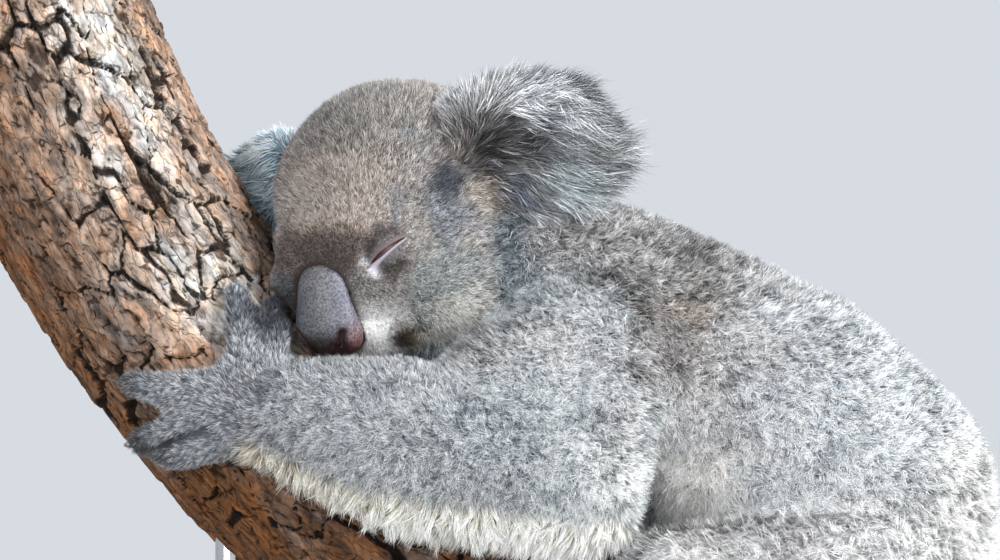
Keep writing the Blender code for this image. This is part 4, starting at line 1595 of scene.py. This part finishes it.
straight = straightened(slope_grid, turn_grid, bare_radius)
warp = np.stack([layered_noise(straight, 26, 201 + 9 * axis) for axis in range(3)], axis=1)
big_plate, plate_tone, big_up = plates(straight / (np.array([46, 17, 17]) * MM) + 0.34 * warp, 41)
small_plate, small_tone, small_up = plates(straight / (np.array([17, 8, 8]) * MM) + 0.5 * warp, 51)

# %% [markdown]
# The crack's width changes along it, from a hair to a finger's nail. Plates
# sit at slightly different heights, and their tops flake in thin layers: a
# noise cut into steps gives the layers' edges. The points lie in rows along
# the bough and turns round it, so quads between them close into a wall.

# %% Bark relief
grain = layered_noise(straight * np.array([0.45, 1, 1]), 4.5, 61, 4)
openness = smooth_step(layered_noise(straight, 60, 63), -0.5, 0.6)
crack_width = 0.02 + 0.06 * openness
small_width = 0.035 + 0.04 * openness
fissure = 1 - smooth_step(big_plate + 0.015 * grain, 0.2 * crack_width, crack_width)
fine_fissure = (1 - smooth_step(small_plate, 0.005, small_width)) * (1 - fissure)
layers = layered_noise(straight * np.array([0.40, 1, 1]), 18, 65, 3) * 3.0
flakes = np.floor(layers) + smooth_step(layers % 1, 0.82, 1.0)
lost = smooth_step(0.16 - plate_tone, 0.0, 0.02)
relief = -(2.2 + 3.0 * openness) * fissure - 1.3 * fine_fissure + 0.8 * flakes
relief += 1.4 * (plate_tone - 0.5) + 0.6 * (small_tone - 0.5) + 0.3 * grain - 0.5 * lost
relief -= 1.3 * big_up + 0.8 * small_up
ledge_shade = smooth_step(layers % 1, 0.60, 0.74) * (1 - smooth_step(layers % 1, 0.82, 0.96))
bark_lift = np.clip(relief - 0.3, -7.0, 1.7)
bark_points = on_bough(slope_grid, turn_grid, bare_radius + bark_lift * MM)

# %% Join the bark's points
wall = np.arange(ROWS * TURNS).reshape(ROWS, TURNS)


def quads_between(grid):
    """Quads of a grid of point numbers that closes round its second side."""
    ahead = np.roll(grid, -1, axis=1)
    corners = [grid[:-1], grid[1:], ahead[1:], ahead[:-1]]
    return np.stack(corners, axis=-1).reshape(-1, 4)


# %% Bark colours
PLATE = np.array([0.30, 0.198, 0.140])
WEATHERED = np.array([0.64, 0.63, 0.60])
# the painted shade at the foot of a flake's edge
LEDGE_SHADE_COLOUR = np.array([0.030, 0.020, 0.015])
# rust, and the painted warm shade of the underside and the low end
RUST_AND_WARM_SHADE = np.array([0.17, 0.068, 0.020])
SLATE = np.array([0.17, 0.165, 0.165])
bough_height = bark_points[:, 2]
turned = np.mod(turn_grid + math.pi, 2 * math.pi) - math.pi
streak_turn = 0.42 + 0.18 * smooth_step(bough_height, 0.45, 0.57)
streak_place = turned - streak_turn - 0.35 * warp[:, 0]
patchy = smooth_step(layered_noise(straight * np.array([0.5, 1, 1]), 24, 89), -0.8, 0.1)
streak = np.exp(-((streak_place / 0.46) ** 2)) * patchy * smooth_step(bough_height, 0.34, 0.38)
# painted shade on the underside and the low end, warm with light thrown up into it; rust lies over both in
# random patches
underside_shade = smooth_step(-turned, 0.35, 1.3) * smooth_step(turned + 2.9, 0, 0.5)
low_end_shade = 1 - smooth_step(bough_height, 0.30, 0.36)
rust_and_warm_shade = underside_shade + 0.7 * low_end_shade + 0.35 * smooth_step(layered_noise(straight, 11, 91), 0.1, 0.7)
rust_and_warm_shade = np.clip(rust_and_warm_shade, 0, 1)
speckled = layered_noise(straight * np.array([0.6, 1, 1]), 2.6, 99, 2)
bark_colour = PLATE * (0.65 + 0.7 * plate_tone + 0.30 * grain + 0.45 * speckled)[:, None]
# painted shade darkens the low end
bark_colour *= (1 - 0.6 * low_end_shade)[:, None]
bark_colour += (0.85 * rust_and_warm_shade)[:, None] * (RUST_AND_WARM_SHADE - bark_colour)
slate = smooth_step(layered_noise(straight * np.array([0.4, 1, 1]), 15, 93), 0.05, 0.6)
bark_colour += (0.5 * slate)[:, None] * (SLATE - bark_colour)
weathered = WEATHERED * (1 + 0.2 * grain + 0.3 * speckled)[:, None]
bark_colour += (0.9 * streak)[:, None] * (weathered - bark_colour)
# painted shade at the foot of each flake's edge
bark_colour += (0.5 * ledge_shade)[:, None] * (LEDGE_SHADE_COLOUR - bark_colour)

bough = mesh_object("bark", bark_points, quads_between(wall))
paint(bough.data, "bark", bark_colour)

# %% [markdown]
# ## Fine cracks and flecks
#
# The mesh holds what breaks the bough's outline. Cracks as thin as a thread
# and the flecks of tan, rust, grey and white come from nodes. They read the
# straightened place that is stored in the mesh, so the grain follows the
# curve of the bough. The mesh also stores how far each point is from the
# nearest crack. That number changes evenly from point to point, so the nodes
# can cut it off at a sharp, ragged limit, which a stored colour would blur.

# %% Bark finish
bark_finish, tree, shader = new_finish("cracked bark", rough=0.9)
layout = bough.data.attributes.new("straight", "FLOAT_VECTOR", "POINT")
layout.data.foreach_set("vector", straight.astype(np.float32).ravel())
gaps = np.stack([big_plate / crack_width, small_plate / small_width, 0 * small_width], axis=1)
gap_layer = bough.data.attributes.new("gaps", "FLOAT_VECTOR", "POINT")
gap_layer.data.foreach_set("vector", gaps.astype(np.float32).ravel())
place = add_node(tree, "ShaderNodeAttribute", attribute_name="straight").outputs["Vector"]


def bark_noise(scale, detail, rough, stretch=(1, 1, 1)):
    """A noise that follows the curve of the bough."""
    squeeze = add_node(tree, "ShaderNodeMapping")
    squeeze.inputs["Scale"].default_value = stretch
    tree.links.new(place, squeeze.inputs["Vector"])
    noise = add_node(tree, "ShaderNodeTexNoise", Scale=scale, Detail=detail, Roughness=rough)
    tree.links.new(squeeze.outputs["Vector"], noise.inputs["Vector"])
    return noise


# %% Thread cracks and flecks
bend = bark_noise(60, 4, 0.6)
shift = add_node(tree, "ShaderNodeVectorMath", operation="MULTIPLY_ADD")
shift.inputs[1].default_value = (0.012, 0.012, 0.012)
tree.links.new(bend.outputs["Color"], shift.inputs[0])
tree.links.new(place, shift.inputs[2])
squeeze = add_node(tree, "ShaderNodeMapping")
squeeze.inputs["Scale"].default_value = (0.3, 1, 1)
tree.links.new(shift.outputs["Vector"], squeeze.inputs["Vector"])
cracks = add_node(tree, "ShaderNodeTexVoronoi", Scale=135.0)
cracks.feature = "DISTANCE_TO_EDGE"
tree.links.new(squeeze.outputs["Vector"], cracks.inputs["Vector"])
# the thread cracks are painted dark with the shade inside them
thread = ramp_of(tree, cracks.outputs["Distance"], [(0.0, (0.3, 0.28, 0.27)), (0.035, (1, 1, 1))])
flecks = bark_noise(390, 8, 0.68, (0.42, 1, 1)).outputs["Fac"]
fleck_tones = [
    (0.32, (0.24, 0.21, 0.19)), (0.45, (0.80, 0.78, 0.76)), (0.56, (1, 1, 1)), (0.72, (1.36, 1.35, 1.31))
]
hues = bark_noise(110, 5, 0.6, (0.6, 1, 1)).outputs["Fac"]
hue_tones = [(0.34, (0.74, 0.80, 0.90)), (0.5, (1, 1, 1)), (0.66, (1.18, 0.97, 0.80))]
tinted = times(tree, stored(tree, "bark"), ramp_of(tree, flecks, fleck_tones))
tinted = times(tree, tinted, ramp_of(tree, hues, hue_tones))
tinted = times(tree, tinted, thread, 0.7)

# %% Ragged fissures
edges = remapped(tree, cracks.outputs["Distance"], 0.0, 0.06, 0.0, 0.5)
gap_place = add_node(tree, "ShaderNodeAttribute", attribute_name="gaps").outputs["Vector"]
gap_parts = add_node(tree, "ShaderNodeSeparateXYZ")
tree.links.new(gap_place, gap_parts.inputs["Vector"])
crumble = bark_noise(420, 5, 0.7, (0.6, 1, 1)).outputs["Fac"]
heights = [(edges, 1.0)]
# each fissure is painted darker towards its middle, with the shade of its depth
for part, start, end, dark, tall in (("X", 1.50, 2.05, 0.07, 2.4), ("Y", 1.25, 1.95, 0.24, 1.0)):
    frayed = multiply_add(tree, crumble, 1.8, gap_parts.outputs[part])
    closed = remapped(tree, frayed, start, end)
    depth_tones = [(0.0, (dark, dark * 0.85, dark * 0.75)), (1.0, (1, 1, 1))]
    tinted = times(tree, tinted, ramp_of(tree, closed, depth_tones))
    heights.append((closed, tall))

# %% Chips, and the relief of them all
height = flecks
for scale, tall, tones in ((100.0, 0.6, (0.78, 1.14)), (300.0, 0.5, (0.74, 1.22))):
    chips = add_node(tree, "ShaderNodeTexVoronoi", Scale=scale)
    tree.links.new(squeeze.outputs["Vector"], chips.inputs["Vector"])
    parted = add_node(tree, "ShaderNodeSeparateColor")
    tree.links.new(chips.outputs["Color"], parted.inputs["Color"])
    chip_tones = [(0.0, (tones[0],) * 3), (1.0, (tones[1],) * 3)]
    tinted = times(tree, tinted, ramp_of(tree, parted.outputs["Green"], chip_tones))
    heights.append((parted.outputs["Red"], tall))
for part, tall in heights:
    height = multiply_add(tree, part, tall, height)
tree.links.new(tinted, shader.inputs["Base Color"])
add_bump(tree, shader, height, 0.9, 1.5)
shader.inputs["Specular IOR Level"].default_value = 0.2
bough.data.materials.append(bark_finish)
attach(bough, "root")
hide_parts("perch_bough")
print("bark faces:", len(bough.data.polygons))

# %% [markdown]
# ## Sawn ends
#
# Both ends of the bough are sawn. The bark's outline is drawn in towards the
# middle in rings to close each end, a little domed by shrinkage. How far out
# each point lies is stored in the mesh. The nodes turn it into yearly rings,
# a darker heart and the thin rim of bark, which would need a far finer mesh.

# %% Shape the ends
END_RINGS = 14


def sawn_end(row, slope, sign, seed):
    """One end: rings of points from the bark in to the middle, and how far out each lies."""
    outline = bark_points.reshape(ROWS, TURNS, 3)[row]
    centre = on_bough(np.array(slope), np.array(0.0), np.array(0.0))
    parts = np.repeat(1 - np.arange(END_RINGS + 1) / END_RINGS, TURNS)
    spokes = np.tile(outline - centre, (END_RINGS + 1, 1))
    points = centre + spokes * np.maximum(parts, 0.004)[:, None]
    way = np.array([math.cos(slope), 0.0, -math.sin(slope)]) * sign
    rough = (0.5 * layered_noise(points, 6, seed) - parts**6) * (parts < 1)
    return points + way * (rough * MM)[:, None], parts


rings = np.arange((END_RINGS + 1) * TURNS).reshape(END_RINGS + 1, TURNS)
high_end, high_parts = sawn_end(0, HIGH_END, -1, 81)
low_end, low_parts = sawn_end(ROWS - 1, LOW_END, 1, 85)
end_faces = np.concatenate([quads_between(rings[::-1]), quads_between(rings) + rings.size])
ends = mesh_object("sawn_ends", np.concatenate([high_end, low_end]), end_faces)
outness = ends.data.attributes.new("outness", "FLOAT", "POINT")
outness.data.foreach_set("value", np.concatenate([high_parts, low_parts]).astype(np.float32))

# %% Sawn wood finish
sawn_finish, tree, shader = new_finish("sawn wood", rough=0.75)
outward = add_node(tree, "ShaderNodeAttribute", attribute_name="outness").outputs["Fac"]
wander = add_node(tree, "ShaderNodeMath", operation="MULTIPLY")
wander.inputs[1].default_value = 9.0
tree.links.new(noise_of(tree, 22, 3), wander.inputs[0])
phase = multiply_add(tree, outward, 110.0, wander.outputs["Value"])
wave = add_node(tree, "ShaderNodeMath", operation="SINE")
tree.links.new(phase, wave.inputs[0])
ring_tones = [(0.0, (0.80, 0.76, 0.72)), (0.7, (1, 1, 1))]
depth_tones = [(0.0, (0.20, 0.12, 0.07)), (0.3, (0.42, 0.30, 0.19)), (0.90, (0.47, 0.35, 0.23))]
depth_tones += [(0.93, (0.10, 0.07, 0.05)), (1.0, (0.12, 0.09, 0.07))]
wood = times(tree, ramp_of(tree, outward, depth_tones), ramp_of(tree, wave.outputs["Value"], ring_tones))
pores = noise_of(tree, 700, 4)
wood = times(tree, wood, ramp_of(tree, pores, [(0.35, (0.70, 0.67, 0.64)), (0.6, (1, 1, 1))]))
tree.links.new(wood, shader.inputs["Base Color"])
add_bump(tree, shader, pores, 0.4, 0.5)
ends.data.materials.append(sawn_finish)
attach(ends, "root")
print("sawn ends:", len(ends.data.polygons), "faces")

# %% [markdown]
# ## The stand
#
# The stand stays plain: a flat dark wooden base and two brushed steel rods.
# The frame's own pieces are right, so they only get finishes. Wood grain is a
# noise squeezed along the board; brushing is a very fine noise round the rod.

# %% Stand finishes
wood_finish, tree, shader = new_finish("dark oiled wood", rough=0.38)
grain_lines = noise_of(tree, 26, 7, 0.6, stretch=(1, 12, 12))
wood_tones = [(0.3, (0.045, 0.026, 0.016)), (0.55, (0.11, 0.066, 0.040)), (0.8, (0.17, 0.105, 0.065))]
tree.links.new(ramp_of(tree, grain_lines, wood_tones), shader.inputs["Base Color"])
add_bump(tree, shader, grain_lines, 0.25, 0.5)
steel_finish, tree, shader = new_finish("brushed steel", rough=0.3, metal=1.0)
brushing = noise_of(tree, 420, 3, 0.5, stretch=(1, 1, 14))
steel_tones = [(0.3, (0.42, 0.43, 0.44)), (0.7, (0.60, 0.61, 0.62))]
tree.links.new(ramp_of(tree, brushing, steel_tones), shader.inputs["Base Color"])
add_bump(tree, shader, brushing, 0.15, 0.15)
for name, node in frame["nodes"].items():
    if name.startswith("stand_"):
        finish = wood_finish if name == "stand_base" else steel_finish
        for number in range(len(node.material_slots)):
            node.material_slots[number].material = finish
print("stand finished")

# %% [markdown]
# ## Studio
#
# A plain pale floor, a pale surround and big soft lamps: the even light of a
# white tent. One large lamp above and to the right of the animal is
# the main one, a weaker one in front opens the shadows, and one behind rims
# the coat. The Standard view shows every colour at its own strength, where
# the default one would pull the pale fur down to grey.

# %% Floor and light
floor_disc = bmesh.new()
bmesh.ops.create_circle(floor_disc, cap_ends=True, segments=96, radius=6.2)
floor_mesh = bpy.data.meshes.new("floor")
floor_disc.to_mesh(floor_mesh)
floor_disc.free()
floor = put_in_scene("floor", floor_mesh)
floor_finish, tree, shader = new_finish("pale floor", (0.62, 0.62, 0.61), 0.9)
floor.data.materials.append(floor_finish)
world = bpy.data.worlds.new("studio")
world.use_nodes = True
world.node_tree.nodes["Background"].inputs["Color"].default_value = (0.80, 0.84, 0.90, 1)
world.node_tree.nodes["Background"].inputs["Strength"].default_value = 0.85
bpy.context.scene.world = world


def soft_lamp(name, place, aim, size, power, colour):
    """A square lamp that looks at a point."""
    lamp = bpy.data.lights.new(name, "AREA")
    lamp.size = size
    lamp.energy = power
    lamp.color = colour
    holder = put_in_scene(name, lamp)
    holder.location = place
    holder.rotation_euler = (Vector(aim) - Vector(place)).to_track_quat("-Z", "Y").to_euler()


BODY = middle("torso")
soft_lamp("main lamp", (2.2, -1.7, 2.1), BODY, 1.1, 185, (1.0, 0.985, 0.96))
soft_lamp("front lamp", (-0.9, -2.9, 0.75), BODY, 1.6, 52, (0.97, 0.985, 1.0))
soft_lamp("back lamp", (0.4, 2.2, 1.9), BODY, 1.6, 50, (0.96, 0.98, 1.0))

# %% [markdown]
# ## Camera
#
# A long lens from some way off keeps the animal's proportions true, as a
# portrait lens does. It looks level along the side of the bough.

# %% Camera
# the picture is so many metres wide at the aimed depth; lens and sensor in millimetres
FRAME_WIDTH = 0.53
AIM_DEPTH = -0.05
AIM_HEIGHT = 0.42
LENS = 250.0
SENSOR = 36.0
lens = bpy.data.cameras.new("camera")
lens.lens = LENS
lens.sensor_width = SENSOR
camera = put_in_scene("camera", lens)
camera.location = (0.0, AIM_DEPTH - FRAME_WIDTH * LENS / SENSOR, AIM_HEIGHT)
camera.rotation_euler = (math.radians(90), 0, 0)
bpy.context.scene.camera = camera


bpy.context.view_layer.update()
total = 0
for item in bpy.context.scene.objects:
    if item.type == "MESH":
        item.data.calc_loop_triangles()
        total += len(item.data.loop_triangles)
print("triangles in all:", total)
bpy.context.scene.view_settings.view_transform = "Standard"
